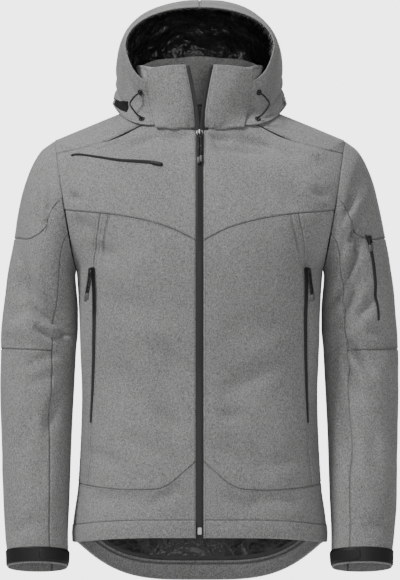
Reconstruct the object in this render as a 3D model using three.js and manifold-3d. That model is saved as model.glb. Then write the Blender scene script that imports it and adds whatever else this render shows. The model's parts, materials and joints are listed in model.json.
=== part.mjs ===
// A hooded softshell jacket, filled out as if worn, in millimetres with +Z up and the front towards -Y.
// The origin is the middle of the neck at the height where the shoulders carry the jacket.
// Every cloth piece is a wall of even thickness through rings worked out from the tables below.
import * as THREE from "three";
import { mergeVertices } from "three/addons/utils/BufferGeometryUtils.js";
import Module from "manifold-3d";

// Driving sizes
const clothThick = 2.0; // bonded softshell with its fleece back
const liningThick = 1.0;
const seamGap = 0.3; // between neighbouring pieces
const zipHalf = 6; // half the width of the centre front zip that shows
const armhole = { front: 84, back: 88 }; // how far the opening reaches before and behind the side seam

// Heights up the body, measured along its side
const level = { hem: 0, band: 28, lower: 92, waist: 248, ribs: 338, armpit: 436, shoulder: 642, neck: 806 };

const bodyRings = [
  { at: level.hem, half: 203, front: 126, back: 137, zFront: -671, zSide: -686, zBack: -763, power: 2.5, swoop: 2.8 },
  { at: level.band, half: 202, front: 127, back: 138, zFront: -643, zSide: -658, zBack: -735, power: 2.5, swoop: 3 },
  { at: level.lower, half: 194, front: 127, back: 134, zFront: -586, zSide: -594, zBack: -640, power: 2.5, swoop: 2.5 },
  { at: level.waist, half: 188, front: 124, back: 121, zFront: -432, zSide: -440, zBack: -452, power: 2.5, swoop: 2 },
  { at: level.ribs, half: 191, front: 132, back: 127, zFront: -342, zSide: -350, zBack: -350, power: 2.5, swoop: 2 },
  { at: level.armpit, half: 197, front: 139, back: 135, zFront: -244, zSide: -252, zBack: -240, power: 2.5, swoop: 2 },
  { at: level.shoulder, half: 231, front: 114, back: 113, zFront: -108, zSide: -46, zBack: -72, power: 2.4, swoop: 2 },
  { at: level.neck, half: 80, front: 79, back: 74, zFront: -33, zSide: 17, zBack: 16, power: 2.1, swoop: 2 },
];

// Seams of the body seen from the front: how high each one runs at a distance from the zip
const yokeSeam = [
  { x: 0, z: -211 },
  { x: 50, z: -187 },
  { x: 98, z: -174 },
  { x: 150, z: -166 },
  { x: 214, z: -160 },
];
const lowerSeam = [
  { x: 0, z: -547 },
  { x: 26, z: -569 },
  { x: 47, z: -587 },
  { x: 66, z: -595 },
  { x: 110, z: -597 },
  { x: 195, z: -592 },
];
const shoulderSeam = [
  { x: 56, z: -8 },
  { x: 105, z: -34 },
  { x: 184, z: -61 },
  { x: 226, z: -70 },
];
const pocketSeam = [
  { z: -600, x: 178 },
  { z: -496, x: 171 },
  { z: -373, x: 166 },
  { z: -246, x: 167 },
  { z: -166, x: 155 },
];
const backYokeSeam = [
  { x: 0, z: -190 },
  { x: 110, z: -182 },
  { x: 214, z: -158 },
];
const backShoulderSeam = [
  { x: 52, z: 10 },
  { x: 110, z: -18 },
  { x: 180, z: -44 },
  { x: 228, z: -62 },
];

// Sleeve rings: the outer and inner point of each, and how far it reaches before and behind them
const sleeveRings = [
  { at: 0, xOut: 231, zOut: -46, xIn: 197, zIn: -252, front: 84, back: 88, yMid: 0, drop: 0 },
  { at: 22, xOut: 255, zOut: -65, xIn: 198.6, zIn: -263, front: 87, back: 90, yMid: 0, drop: 0 },
  { at: 60, xOut: 275, zOut: -106, xIn: 197.8, zIn: -277, front: 85, back: 87, yMid: 1, drop: 0 },
  { at: 105, xOut: 288, zOut: -153, xIn: 196.2, zIn: -294, front: 80, back: 83, yMid: 2, drop: 0 },
  { at: 160, xOut: 300, zOut: -214, xIn: 194.6, zIn: -316, front: 75, back: 79, yMid: 3, drop: 0 },
  { at: 230, xOut: 311, zOut: -288, xIn: 194.6, zIn: -345, front: 71, back: 75, yMid: 3, drop: 0 },
  { at: 302, xOut: 318, zOut: -379, xIn: 197.5, zIn: -383, front: 68, back: 71, yMid: 0, drop: 0.02 },
  { at: 365, xOut: 318, zOut: -442, xIn: 200.5, zIn: -442, front: 63, back: 65, yMid: -5, drop: 0.05 },
  { at: 445, xOut: 316, zOut: -520, xIn: 204, zIn: -520, front: 59, back: 60, yMid: -14, drop: 0.1 },
  { at: 535, xOut: 313, zOut: -610, xIn: 206.5, zIn: -610, front: 54, back: 55, yMid: -26, drop: 0.16 },
  { at: 600, xOut: 309, zOut: -675, xIn: 208.8, zIn: -675, front: 50, back: 50, yMid: -34, drop: 0.22 },
  { at: 626, xOut: 306, zOut: -701, xIn: 208.5, zIn: -701, front: 48, back: 48, yMid: -38, drop: 0.24 },
  { at: 650, xOut: 305, zOut: -725, xIn: 209.5, zIn: -725, front: 47, back: 47, yMid: -41, drop: 0.25 },
];
// How far down the sleeve each row of its panels lies, closer together where the cloth creases
const upperStops = [0, 22, 46, 72, 98, 124, 150, 176, 200, 222, 243, 263, 283, 302];
const foreStops = [302, 322, 344, 374, 412, 456, 502, 548, 588, 622, 650];
const elbowAt = 302;
const cuffAt = 650;
const strap = { from: 624, to: 647, tall: 22 };
// How far down the shoulder patch reaches, by the angle round the sleeve from its underside
const capEdge = [
  { turn: 95, at: 0 },
  { turn: 98, at: 60 },
  { turn: 107, at: 98 },
  { turn: 123, at: 126 },
  { turn: 141, at: 139 },
  { turn: 180, at: 150 },
  { turn: 219, at: 139 },
  { turn: 237, at: 126 },
  { turn: 253, at: 98 },
  { turn: 262, at: 60 },
  { turn: 265, at: 0 },
];

// Collar rings, from the neck seam to the top edge; open is half the gap that the undone zip leaves
const collarRings = [
  { at: 0, half: 80, front: 79, back: 74, zFront: -32, zSide: 17.5, zBack: 16.5, open: 6 },
  { at: 35, half: 90, front: 83, back: 79, zFront: 2, zSide: 33, zBack: 43, open: 9.5 },
  { at: 70, half: 97, front: 84, back: 81, zFront: 36, zSide: 48, zBack: 70, open: 15 },
  { at: 102, half: 101, front: 83, back: 80, zFront: 69, zSide: 60, zBack: 96, open: 22 },
];
const collarTop = 102;
const collarUnder = 0.34; // where the back piece of the collar ends under the front one

// Hood arches from the rim back to the neck edge. Each rises from its foot beside the collar, bends
// past a corner at the front of the flap to its widest point at the hip, and arches over to its top.
const hoodArches = [
  { at: 0, xFoot: 71, yFoot: -65.5, zFoot: 44, xBend: 108, yBend: -64, zBend: 42, half: 119, yHip: -48, zHip: 100, yTop: -26, zTop: 166 },
  { at: 45, xFoot: 71, yFoot: -62, zFoot: 33, xBend: 112, yBend: -60, zBend: 30, half: 128, yHip: -20, zHip: 92, yTop: 22, zTop: 181.5 },
  { at: 105, xFoot: 71, yFoot: -56.5, zFoot: 20, xBend: 116, yBend: -58, zBend: 17, half: 133, yHip: 22, zHip: 80, yTop: 82, zTop: 185 },
  { at: 170, xFoot: 71, yFoot: -54, zFoot: 8, xBend: 118, yBend: -59, zBend: 4, half: 135, yHip: 48, zHip: 62, yTop: 142, zTop: 162 },
  { at: 235, xFoot: 71, yFoot: -56, zFoot: -4, xBend: 120, yBend: -63, zBend: -8, half: 136, yHip: 52, zHip: 44, yTop: 178, zTop: 112 },
  { at: 290, xFoot: 71, yFoot: -62.5, zFoot: -14, xBend: 120, yBend: -70, zBend: -17, half: 138, yHip: 36, zHip: 27, yTop: 172, zTop: 66 },
  { at: 350, xFoot: 71, yFoot: -71, zFoot: -24, xBend: 119, yBend: -76, zBend: -26, half: 138, yHip: 4, zHip: 14, yTop: 116, zTop: 26 },
];
const hoodEdge = 350;
const hoodPower = 2.15;

// The largest folds. Body folds run from one place to another seen from the front, sleeve folds are
// placed by the angle round the sleeve and the distance down it. A depth below nought is a ridge.
const bodyFolds = [
  { x0: 200, z0: -168, x1: 140, z1: -150, wide: 15, deep: 3 },
  { x0: -32, z0: -500, x1: -120, z1: -420, wide: 26, deep: 5 },
  { x0: -30, z0: -560, x1: -100, z1: -520, wide: 18, deep: 5 },
  { x0: 18, z0: -520, x1: 90, z1: -560, wide: 20, deep: 5 },
  { x0: -150, z0: -612, x1: -95, z1: -610, wide: 12, deep: 4 },
  { x0: 90, z0: -610, x1: 150, z1: -612, wide: 12, deep: 4 },
  { x0: 30, z0: -52, x1: 150, z1: -66, wide: 14, deep: 4 },
  { x0: -30, z0: -50, x1: -130, z1: -56, wide: 14, deep: 3.5 },
];
const sleeveFolds = {
  right: [
    { turn0: 60, at0: 232, turn1: 118, at1: 206, wide: 22, deep: 8 },
    { turn0: 40, at0: 262, turn1: 140, at1: 268, wide: 27, deep: -4.5 },
    { turn0: 62, at0: 288, turn1: 128, at1: 292, wide: 20, deep: 5.5 },
    { turn0: 150, at0: 150, turn1: 84, at1: 236, wide: 30, deep: 4.5 },
    { turn0: 128, at0: 24, turn1: 112, at1: 82, wide: 20, deep: 5.5 },
    { turn0: 245, at0: 60, turn1: 285, at1: 160, wide: 27, deep: 5.5 },
    { turn0: 250, at0: 250, turn1: 320, at1: 280, wide: 24, deep: 6.5 },
    { turn0: 60, at0: 420, turn1: 84, at1: 520, wide: 21, deep: 2.5 },
  ],
  left: [
    { turn0: 92, at0: 18, turn1: 130, at1: 40, wide: 21, deep: 7 },
    { turn0: 80, at0: 56, turn1: 112, at1: 92, wide: 20, deep: 5.5 },
    { turn0: 62, at0: 150, turn1: 118, at1: 98, wide: 26, deep: 6.5 },
    { turn0: 66, at0: 232, turn1: 92, at1: 176, wide: 21, deep: 5.5 },
    { turn0: 50, at0: 286, turn1: 110, at1: 306, wide: 22, deep: 6.5 },
    { turn0: 42, at0: 330, turn1: 62, at1: 480, wide: 24, deep: 4.5 },
    { turn0: 245, at0: 70, turn1: 288, at1: 165, wide: 27, deep: 5.5 },
    { turn0: 248, at0: 262, turn1: 318, at1: 286, wide: 24, deep: 6.5 },
  ],
};

const mix = (a, b, t) => a + (b - a) * t;
const clamp = (t, low = 0, high = 1) => Math.min(high, Math.max(low, t));
const radians = THREE.MathUtils.degToRad;
const span = (count) => Array.from({ length: count + 1 }, (unused, i) => i / count);

// One column of a table at a place between its rows, as a smooth curve that never overshoots
function read(table, column, place, by = "at") {
  const last = table.length - 1;
  const forward = table[last][by] > table[0][by] ? 1 : -1;
  let k = 0;
  while (k < last - 1 && forward * place > forward * table[k + 1][by]) k += 1;
  const step = (n) => table[n + 1][by] - table[n][by];
  const slope = (n) => (table[n + 1][column] - table[n][column]) / step(n);
  const tangent = (n) => {
    if (n === 0) return slope(0);
    if (n === last) return slope(last - 1);
    const before = slope(n - 1);
    const after = slope(n);
    return before * after <= 0 ? 0 : (2 * before * after) / (before + after);
  };
  const wide = step(k);
  const t = clamp((place - table[k][by]) / wide);
  const start = table[k][column];
  const end = table[k + 1][column];
  return (
    start * (1 + 2 * t) * (1 - t) ** 2 +
    tangent(k) * wide * t * (1 - t) ** 2 +
    end * t * t * (3 - 2 * t) +
    tangent(k + 1) * wide * t * t * (t - 1)
  );
}

// How deep the folds of a list press in at a place on a plane
function foldDepth(folds, u, w) {
  let sum = 0;
  for (const f of folds) {
    const along = [f.u1 - f.u0, f.w1 - f.w0];
    const reach = along[0] ** 2 + along[1] ** 2;
    const t = ((u - f.u0) * along[0] + (w - f.w0) * along[1]) / reach;
    const near = clamp(t);
    const away = Math.hypot(u - f.u0 - near * along[0], w - f.w0 - near * along[1]);
    sum += f.deep * Math.exp(-((away / f.wide) ** 2));
  }
  return sum;
}

// Angle of the armhole at a height on the body, from its lowest point
const armholeTurn = (at) => (Math.PI * (at - level.armpit)) / (level.shoulder - level.armpit);
const armholeLevel = (degrees) => mix(level.armpit, level.shoulder, degrees / 180);

// A point of the body. facing is -1 for the front and 1 for the back; share runs from the centre to
// the side seam, the armhole or the ridge of the shoulder; at is the height along the side.
function bodyBase(facing, share, at) {
  const ring = (column) => read(bodyRings, column, at);
  const power = ring("power");
  const deep = ring(facing < 0 ? "front" : "back");
  const inset = facing < 0 ? zipHalf : 0;
  let half = ring("half");
  let zSide = ring("zSide");
  let reach = half;
  let end = Math.PI / 2;
  if (at > level.armpit && at < level.shoulder) {
    const turn = armholeTurn(at);
    const rise = (1 - Math.cos(turn)) / 2;
    half = mix(bodyRings[5].half, bodyRings[6].half, rise);
    zSide = mix(bodyRings[5].zSide, bodyRings[6].zSide, rise);
    const opening = (facing < 0 ? armhole.front : armhole.back) * Math.sin(turn);
    const left = 1 - (opening / deep) ** power;
    reach = inset + (half - inset) / left ** (1 / power);
    end = Math.asin(Math.sqrt(left));
  }
  if (at >= level.shoulder) {
    const t = (at - level.shoulder) / (level.neck - level.shoulder);
    half = reach = mix(bodyRings[6].half, bodyRings[7].half, t);
    zSide = mix(bodyRings[6].zSide, bodyRings[7].zSide, t);
  }
  const turn = share * end;
  const x = inset + (reach - inset) * Math.sin(turn) ** (2 / power);
  const y = facing * deep * Math.max(0, Math.cos(turn)) ** (2 / power);
  const zCentre = ring(facing < 0 ? "zFront" : "zBack");
  const z = mix(zCentre, zSide, (Math.sin(turn) / Math.sin(end)) ** ring("swoop"));
  return new THREE.Vector3(x, y, z);
}

// A point of the sleeve on the +X side; turn is in degrees from the underside through the front
function sleeveBase(turn, at) {
  const ring = (column) => read(sleeveRings, column, at);
  const angle = radians(turn);
  const out = (1 - Math.cos(angle)) / 2;
  const across = -Math.sin(angle) * ring(Math.sin(angle) > 0 ? "front" : "back");
  return new THREE.Vector3(
    mix(ring("xIn"), ring("xOut"), out),
    ring("yMid") + across,
    mix(ring("zIn"), ring("zOut"), out) - ring("drop") * across,
  );
}

// A point of the collar on the +X side, laid out as the body is
function collarBase(facing, share, at) {
  const ring = (column) => read(collarRings, column, at);
  const inset = facing < 0 ? ring("open") : 0;
  const turn = (share * Math.PI) / 2;
  return new THREE.Vector3(
    inset + (ring("half") - inset) * Math.sin(turn),
    facing * ring(facing < 0 ? "front" : "back") * Math.cos(turn),
    mix(ring(facing < 0 ? "zFront" : "zBack"), ring("zSide"), Math.sin(turn) ** 2),
  );
}

// A point of the hood on the +X side; share runs from the foot of an arch to its top
const hipShare = 0.34;
function hoodBase(share, at) {
  const arch = (column) => read(hoodArches, column, at);
  if (share < hipShare) {
    const t = share / hipShare;
    const bend = (first, middle, last) =>
      (1 - t) ** 2 * arch(first) + 2 * t * (1 - t) * arch(middle) + t * t * arch(last);
    return new THREE.Vector3(
      bend("xFoot", "xBend", "half"),
      bend("yFoot", "yBend", "yHip"),
      bend("zFoot", "zBend", "zHip"),
    );
  }
  const t = (share - hipShare) / (1 - hipShare);
  const turn = (t * Math.PI) / 2;
  return new THREE.Vector3(
    arch("half") * Math.max(0, Math.cos(turn)) ** (2 / hoodPower),
    mix(arch("yHip"), arch("yTop"), Math.sin(turn)),
    mix(arch("zHip"), arch("zTop"), Math.sin(turn) ** (2 / hoodPower)),
  );
}

// The way out of a surface at a place, by small steps that stay inside its edges
function wayOut(surface, u, w, sizes, flip) {
  const step = 0.004;
  const u0 = clamp(u - step * sizes.u, sizes.u0, sizes.u1);
  const u1 = clamp(u + step * sizes.u, sizes.u0, sizes.u1);
  const w0 = clamp(w - step * sizes.w, sizes.w0, sizes.w1);
  const w1 = clamp(w + step * sizes.w, sizes.w0, sizes.w1);
  const alongU = surface(u1, w).sub(surface(u0, w));
  const alongW = surface(u, w1).sub(surface(u, w0));
  return alongU.cross(alongW).normalize().multiplyScalar(flip);
}

const bodyField = { u: 1, u0: 0, u1: 1, w: 800, w0: level.hem, w1: level.neck };
const bodyOut = (facing, share, at) =>
  wayOut((s, a) => bodyBase(facing, s, a), share, at, bodyField, -facing);
const sleeveField = { u: 360, u0: -400, u1: 400, w: 650, w0: 0, w1: cuffAt };
const sleeveOut = (turn, at) => wayOut(sleeveBase, turn, at, sleeveField, -1);
const collarField = { u: 1, u0: 0, u1: 1, w: collarTop, w0: 0, w1: collarTop };
const collarOut = (facing, share, at) =>
  wayOut((s, a) => collarBase(facing, s, a), share, at, collarField, -facing);
const hoodField = { u: 1, u0: 0, u1: 1, w: hoodEdge, w0: 0, w1: hoodEdge };
const hoodOut = (share, at) => wayOut(hoodBase, share, at, hoodField, -1);

// Both walls of the armhole share one way in, so that body and sleeve meet there without crossing
function armholeIn(turn) {
  const angle = radians(turn);
  const rise = (1 - Math.cos(angle)) / 2;
  const bodySide = new THREE.Vector3(-0.35 - 0.65 * Math.cos(angle / 2) ** 2, 0, -rise);
  const round = new THREE.Vector3(0, Math.sin(angle), Math.cos(angle));
  return bodySide.multiplyScalar(0.5).add(round).normalize();
}

const bodyFoldPlaces = bodyFolds.map((f) => ({ ...f, u0: f.x0, w0: f.z0, u1: f.x1, w1: f.z1 }));
const degreeLength = 1.15; // millimetres round the sleeve for one degree
const sleeveFoldPlaces = Object.fromEntries(
  Object.entries(sleeveFolds).map(([side, folds]) => [
    side,
    folds.map((f) => ({
      ...f,
      u0: f.turn0 * degreeLength,
      w0: f.at0,
      u1: f.turn1 * degreeLength,
      w1: f.at1,
    })),
  ]),
);

// One spot on a cloth surface: its outer point and the way in. side is 1 for +X and -1 for -X.
function bodySpot(side, facing, share, at, outset = 0) {
  const point = bodyBase(facing, share, at);
  const out = bodyOut(facing, share, at);
  const press = facing < 0 ? foldDepth(bodyFoldPlaces, side * point.x, point.z) : 0;
  const edge = clamp((1 - share) * 6) * clamp(share * 12);
  point.addScaledVector(out, outset - press * edge);
  let inward = out.negate();
  if (share > 0.9999 && at > level.armpit - 0.01 && at < level.shoulder + 0.01) {
    const turn = THREE.MathUtils.radToDeg(armholeTurn(at));
    inward = armholeIn(facing < 0 ? turn : 360 - turn);
  }
  return { point, inward };
}

function sleeveSpot(side, turn, at, outset = 0) {
  const point = sleeveBase(turn, at);
  const out = sleeveOut(turn, at);
  const round = ((turn % 360) + 360) % 360;
  const press = foldDepth(sleeveFoldPlaces[side > 0 ? "left" : "right"], round * degreeLength, at);
  point.addScaledVector(out, outset - press * clamp(at / 24) * clamp((strap.from - at) / 40));
  const inward = at < 0.01 ? armholeIn(turn) : out.negate();
  return { point, inward };
}

function collarSpot(facing, share, at, outset = 0) {
  const out = collarOut(facing, share, at);
  return { point: collarBase(facing, share, at).addScaledVector(out, outset), inward: out.negate() };
}

function hoodSpot(share, at, outset = 0) {
  const out = hoodOut(share, at);
  return { point: hoodBase(share, at).addScaledVector(out, outset), inward: out.negate() };
}

// A closed wall from a grid of spots. Its free edges draw back by half a seam's gap.
function wallGeometry(spots, thick, { ring = false, gap = seamGap, head = gap, mirror = false } = {}) {
  const rows = spots.length;
  const columns = spots[0].length;
  const layers = [0, thick].map((deep) =>
    spots.map((row) => row.map((s) => s.point.clone().addScaledVector(s.inward, deep))),
  );
  for (const grid of layers) {
    const from = grid.map((row) => row.map((p) => p.clone()));
    const draw = (i, j, toI, toJ, much = gap) => {
      const way = from[toI][toJ].clone().sub(from[i][j]);
      if (way.length() > much) grid[i][j].addScaledVector(way.normalize(), much / 2);
    };
    for (let j = 0; j < columns; j += 1) {
      if (ring) continue;
      draw(0, j, 1, j);
      draw(rows - 1, j, rows - 2, j);
    }
    for (let i = 0; i < rows; i += 1) {
      draw(i, 0, i, 1, head);
      draw(i, columns - 1, i, columns - 2);
    }
    for (const i of ring ? [] : [0, rows - 1]) {
      const pinched = from[i].every((p) => p.distanceTo(from[i][0]) < 1e-6);
      if (!pinched) continue;
      const middle = grid[i].reduce((sum, p) => sum.add(p), new THREE.Vector3());
      middle.divideScalar(columns);
      grid[i].forEach((p) => p.copy(middle));
    }
  }
  const [outer, inner] = layers;
  const corners = [];
  const triangle = (a, b, c) => {
    const flat = new THREE.Vector3().crossVectors(b.clone().sub(a), c.clone().sub(a)).length();
    if (flat > 1e-7) corners.push(a, b, c);
  };
  const quad = (a, b, c, d) => {
    triangle(a, b, c);
    triangle(a, c, d);
  };
  const next = (i) => (ring ? (i + 1) % rows : i + 1);
  for (let i = 0; i < (ring ? rows : rows - 1); i += 1) {
    for (let j = 0; j < columns - 1; j += 1) {
      const k = next(i);
      const shorter =
        outer[i][j].distanceTo(outer[k][j + 1]) <= outer[k][j].distanceTo(outer[i][j + 1]);
      if (shorter) {
        quad(outer[i][j], outer[k][j], outer[k][j + 1], outer[i][j + 1]);
        quad(inner[k][j + 1], inner[k][j], inner[i][j], inner[i][j + 1]);
      } else {
        quad(outer[k][j], outer[k][j + 1], outer[i][j + 1], outer[i][j]);
        quad(inner[i][j + 1], inner[k][j + 1], inner[k][j], inner[i][j]);
      }
    }
    const last = columns - 1;
    quad(outer[next(i)][0], outer[i][0], inner[i][0], inner[next(i)][0]);
    quad(outer[next(i)][last], inner[next(i)][last], inner[i][last], outer[i][last]);
  }
  for (let j = 0; j < columns - 1 && !ring; j += 1) {
    const end = rows - 1;
    quad(outer[0][j], outer[0][j + 1], inner[0][j + 1], inner[0][j]);
    quad(outer[end][j], inner[end][j], inner[end][j + 1], outer[end][j + 1]);
  }
  const numbers = corners.flatMap((p) => [mirror ? -p.x : p.x, p.y, p.z]);
  const geometry = new THREE.BufferGeometry();
  geometry.setAttribute("position", new THREE.Float32BufferAttribute(numbers, 3));
  return faceOut(geometry);
}

// Turns every triangle round if the solid's faces point inwards
function faceOut(geometry) {
  const p = geometry.getAttribute("position");
  const [a, b, c] = [new THREE.Vector3(), new THREE.Vector3(), new THREE.Vector3()];
  let volume = 0;
  for (let i = 0; i < p.count; i += 3) {
    a.fromBufferAttribute(p, i);
    b.fromBufferAttribute(p, i + 1);
    c.fromBufferAttribute(p, i + 2);
    volume += a.dot(b.cross(c));
  }
  if (volume < 0) {
    for (let i = 0; i < p.count; i += 3) {
      b.fromBufferAttribute(p, i + 1);
      c.fromBufferAttribute(p, i + 2);
      p.setXYZ(i + 1, c.x, c.y, c.z);
      p.setXYZ(i + 2, b.x, b.y, b.z);
    }
  }
  const merged = mergeVertices(geometry, 1e-4);
  merged.computeVertexNormals();
  return merged;
}

const paint = (color, roughness, metalness = 0) =>
  new THREE.MeshStandardMaterial({ color, roughness, metalness });
const finish = {
  shell: paint(0x8a8a88, 0.95),
  lining: paint(0x141414, 0.45),
  tape: paint(0x2c2c2c, 0.8),
  strap: paint(0x191919, 0.85),
  pull: paint(0x101010, 0.6),
  metal: paint(0xb9bbbd, 0.3, 0.9),
  cord: paint(0x1c1c1c, 0.7),
};

const jacket = new THREE.Group();
function add(name, geometry, material) {
  const mesh = new THREE.Mesh(geometry, material);
  mesh.name = name;
  jacket.add(mesh);
  return mesh;
}
// Left and right are the wearer's
const sides = [
  { name: "right", side: -1 },
  { name: "left", side: 1 },
];

// The place on a surface that is seen at a given distance across and height
function placeOf(surface, start, x, z, steps) {
  let [u, w] = start;
  for (let n = 0; n < 30; n += 1) {
    const p = surface(u, w);
    const alongU = surface(u + steps[0], w).sub(p).divideScalar(steps[0]);
    const alongW = surface(u, w + steps[1]).sub(p).divideScalar(steps[1]);
    const area = alongU.x * alongW.z - alongW.x * alongU.z;
    u += (0.7 * ((x - p.x) * alongW.z - (z - p.z) * alongW.x)) / area;
    w += (0.7 * ((z - p.z) * alongU.x - (x - p.x) * alongU.z)) / area;
  }
  return [u, w];
}
function frontPlace(x, z) {
  const surface = (share, at) => bodyBase(-1, share, at);
  const start = [clamp(x / 230, 0.02, 0.8), clamp(level.neck + 1.15 * (z + 10), 40, 790)];
  const [share, at] = placeOf(surface, start, x, z, [1e-3, 0.5]);
  return { share, at };
}

// Where a seam drawn from the front or the back crosses a column of the body
function seamLevel(facing, column, seam, low, high) {
  let [below, above] = [low, high];
  for (let n = 0; n < 40; n += 1) {
    const middle = (below + above) / 2;
    const p = bodyBase(facing, column(middle), middle);
    if (p.z < read(seam, "z", p.x, "x")) below = middle;
    else above = middle;
  }
  return (below + above) / 2;
}

// The share of the front at which the pocket seam runs, at each height
function pocketShare(at) {
  const top = armholeLevel(86);
  const wanted = (share) => {
    const p = bodyBase(-1, share, Math.min(at, top));
    return p.x - read(pocketSeam, "x", p.z, "z");
  };
  let [low, high] = [0.2, 0.98];
  for (let n = 0; n < 30; n += 1) {
    const middle = (low + high) / 2;
    if (wanted(middle) < 0) low = middle;
    else high = middle;
  }
  return mix(low, 0.5, clamp((at - top) / (level.shoulder - top)));
}

// Columns of the front run from the zip to the pocket seam and on to the side
const frontMain = 7;
const frontSide = 4;
const frontColumns = frontMain + frontSide;
function frontShare(column, at) {
  const pocket = pocketShare(at);
  if (column <= frontMain) return (pocket * column) / frontMain;
  return mix(pocket, 1, (column - frontMain) / frontSide);
}
const backHalf = 9;
const backCorner = 5;
const backShare = (column) =>
  column <= backCorner
    ? (0.5 * column) / backCorner
    : mix(0.5, 1, (column - backCorner) / (backHalf - backCorner));

const armholeStops = { yoke: 84, seam: 140, backYoke: 84, backSeam: 144 };
const frontCut = Array.from({ length: frontColumns + 1 }, (unused, column) => {
  const share = (at) => frontShare(column, at);
  const atSide = column === frontColumns;
  const yoke = seamLevel(-1, share, yokeSeam, level.waist, level.shoulder - 4);
  const lower = seamLevel(-1, share, lowerSeam, level.band, level.waist);
  const top = seamLevel(-1, share, shoulderSeam, level.armpit + 60, level.neck);
  return {
    lower,
    yoke: atSide ? armholeLevel(armholeStops.yoke) : yoke,
    top: atSide ? armholeLevel(armholeStops.seam) : column <= frontMain ? level.neck : top,
  };
});
const backCut = Array.from({ length: backHalf + 1 }, (unused, column) => {
  const share = () => backShare(column);
  const atSide = column === backHalf;
  const yoke = seamLevel(1, share, backYokeSeam, level.waist, level.shoulder - 4);
  const top = seamLevel(1, share, backShoulderSeam, level.armpit + 60, level.neck);
  return {
    yoke: atSide ? armholeLevel(armholeStops.backYoke) : yoke,
    top: atSide ? armholeLevel(armholeStops.backSeam) : column <= backCorner ? level.neck : top,
  };
});

// Rows between the lower seam and the yoke seam. At the side the last four lie on the armhole.
const tallRows = 14;
const armholeRows = 4;
function tallLevel(low, high, row, towardsArmhole) {
  const even = mix(low, high, row / tallRows);
  const below = tallRows - armholeRows;
  const fitted =
    row <= below ? mix(low, level.armpit, row / below) : mix(level.armpit, high, (row - below) / armholeRows);
  return mix(even, fitted, towardsArmhole);
}

function frontPanel(side, firstColumn, lastColumn, rows, levelOf, outset = 0) {
  const columns = span(lastColumn - firstColumn).map((t) => mix(firstColumn, lastColumn, t));
  return columns.map((column) =>
    span(rows).map((t, row) => {
      const at = levelOf(Math.round(column), t, row);
      return bodySpot(side, -1, frontShare(Math.round(column), at), at, outset);
    }),
  );
}
const sideShare = (column) => clamp((column - frontMain) / frontSide);

const hemRows = 2;
const lowRows = 2;
const chestRows = 5;
const bandProud = 1.8; // the hem band stands out from the panel above it
const bandSwell = (t) => bandProud * Math.sin(Math.PI * clamp(t, 0.12, 0.88)) ** 0.5;
for (const { name, side } of sides) {
  const mirror = side < 0;
  const make = (spots, thick = clothThick) => wallGeometry(spots, thick, { mirror });
  const band = frontPanel(side, 0, frontColumns, hemRows, (c, t) => mix(level.hem, level.band, t));
  for (const column of band) {
    column.forEach((spot, row) => {
      spot.point.addScaledVector(spot.inward, -bandSwell(row / hemRows));
    });
  }
  add(`hem_front_${name}`, make(band, clothThick + bandProud), finish.shell);
  add(
    `front_lower_${name}`,
    make(frontPanel(side, 0, frontColumns, lowRows, (c, t) => mix(level.band, frontCut[c].lower, t))),
    finish.shell,
  );
  const tall = (c, t, row) => tallLevel(frontCut[c].lower, frontCut[c].yoke, row, sideShare(c));
  add(`front_main_${name}`, make(frontPanel(side, 0, frontMain, tallRows, tall)), finish.shell);
  add(
    `front_side_${name}`,
    make(frontPanel(side, frontMain, frontColumns, tallRows, tall)),
    finish.shell,
  );
  add(
    `front_chest_${name}`,
    make(frontPanel(side, 0, frontColumns, chestRows, (c, t) => mix(frontCut[c].yoke, frontCut[c].top, t))),
    finish.shell,
  );
}

// The strip over each shoulder, from the neck to the armhole, between its front and back seams
const ridgeRows = 2;
for (const { name, side } of sides) {
  const spots = span(frontSide).map((t, k) => {
    const frontAt = frontCut[frontMain + k].top;
    const backAt = backCut[backCorner + k].top;
    const ridgeAt = mix(level.neck, level.shoulder, t);
    const front = span(ridgeRows).map((q) => {
      const at = mix(frontAt, ridgeAt, q);
      const share = mix(frontShare(frontMain + k, frontAt), 1, q);
      return bodySpot(side, -1, k === frontSide ? 1 : share, at);
    });
    const back = span(ridgeRows).map((q) => {
      const at = mix(ridgeAt, backAt, q);
      const share = mix(1, backShare(backCorner + k), q);
      return bodySpot(side, 1, k === frontSide ? 1 : share, at);
    });
    return [...front, ...back.slice(1)];
  });
  const join = { mirror: side < 0, gap: 0.4 };
  add(`shoulder_${name}`, wallGeometry(spots, clothThick, join), finish.shell);
}

// Back pieces run from one side seam across the centre to the other
function backPanel(rows, levelOf, outset = 0) {
  const columns = [];
  for (let c = -backHalf; c <= backHalf; c += 1) {
    const side = c < 0 ? -1 : 1;
    columns.push(
      span(rows).map((t, row) => {
        const at = levelOf(Math.abs(c), t, row);
        const spot = bodySpot(side, 1, backShare(Math.abs(c)), at, outset);
        if (side < 0) {
          spot.point.x *= -1;
          spot.inward.x *= -1;
        }
        return spot;
      }),
    );
  }
  return columns;
}
const backTall = (c, t, row) => {
  const towards = clamp((c - backCorner) / (backHalf - backCorner));
  return tallLevel(level.band, backCut[c].yoke, row, towards);
};
const hemBack = backPanel(hemRows, (c, t) => mix(level.hem, level.band, t));
for (const column of hemBack) {
  column.forEach((spot, row) => spot.point.addScaledVector(spot.inward, -bandSwell(row / hemRows)));
}
add("hem_back", wallGeometry(hemBack, clothThick + bandProud), finish.shell);
add("back_lower", wallGeometry(backPanel(tallRows, backTall), clothThick), finish.shell);
add(
  "back_yoke",
  wallGeometry(backPanel(chestRows, (c, t) => mix(backCut[c].yoke, backCut[c].top, t)), clothThick),
  finish.shell,
);

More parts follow.
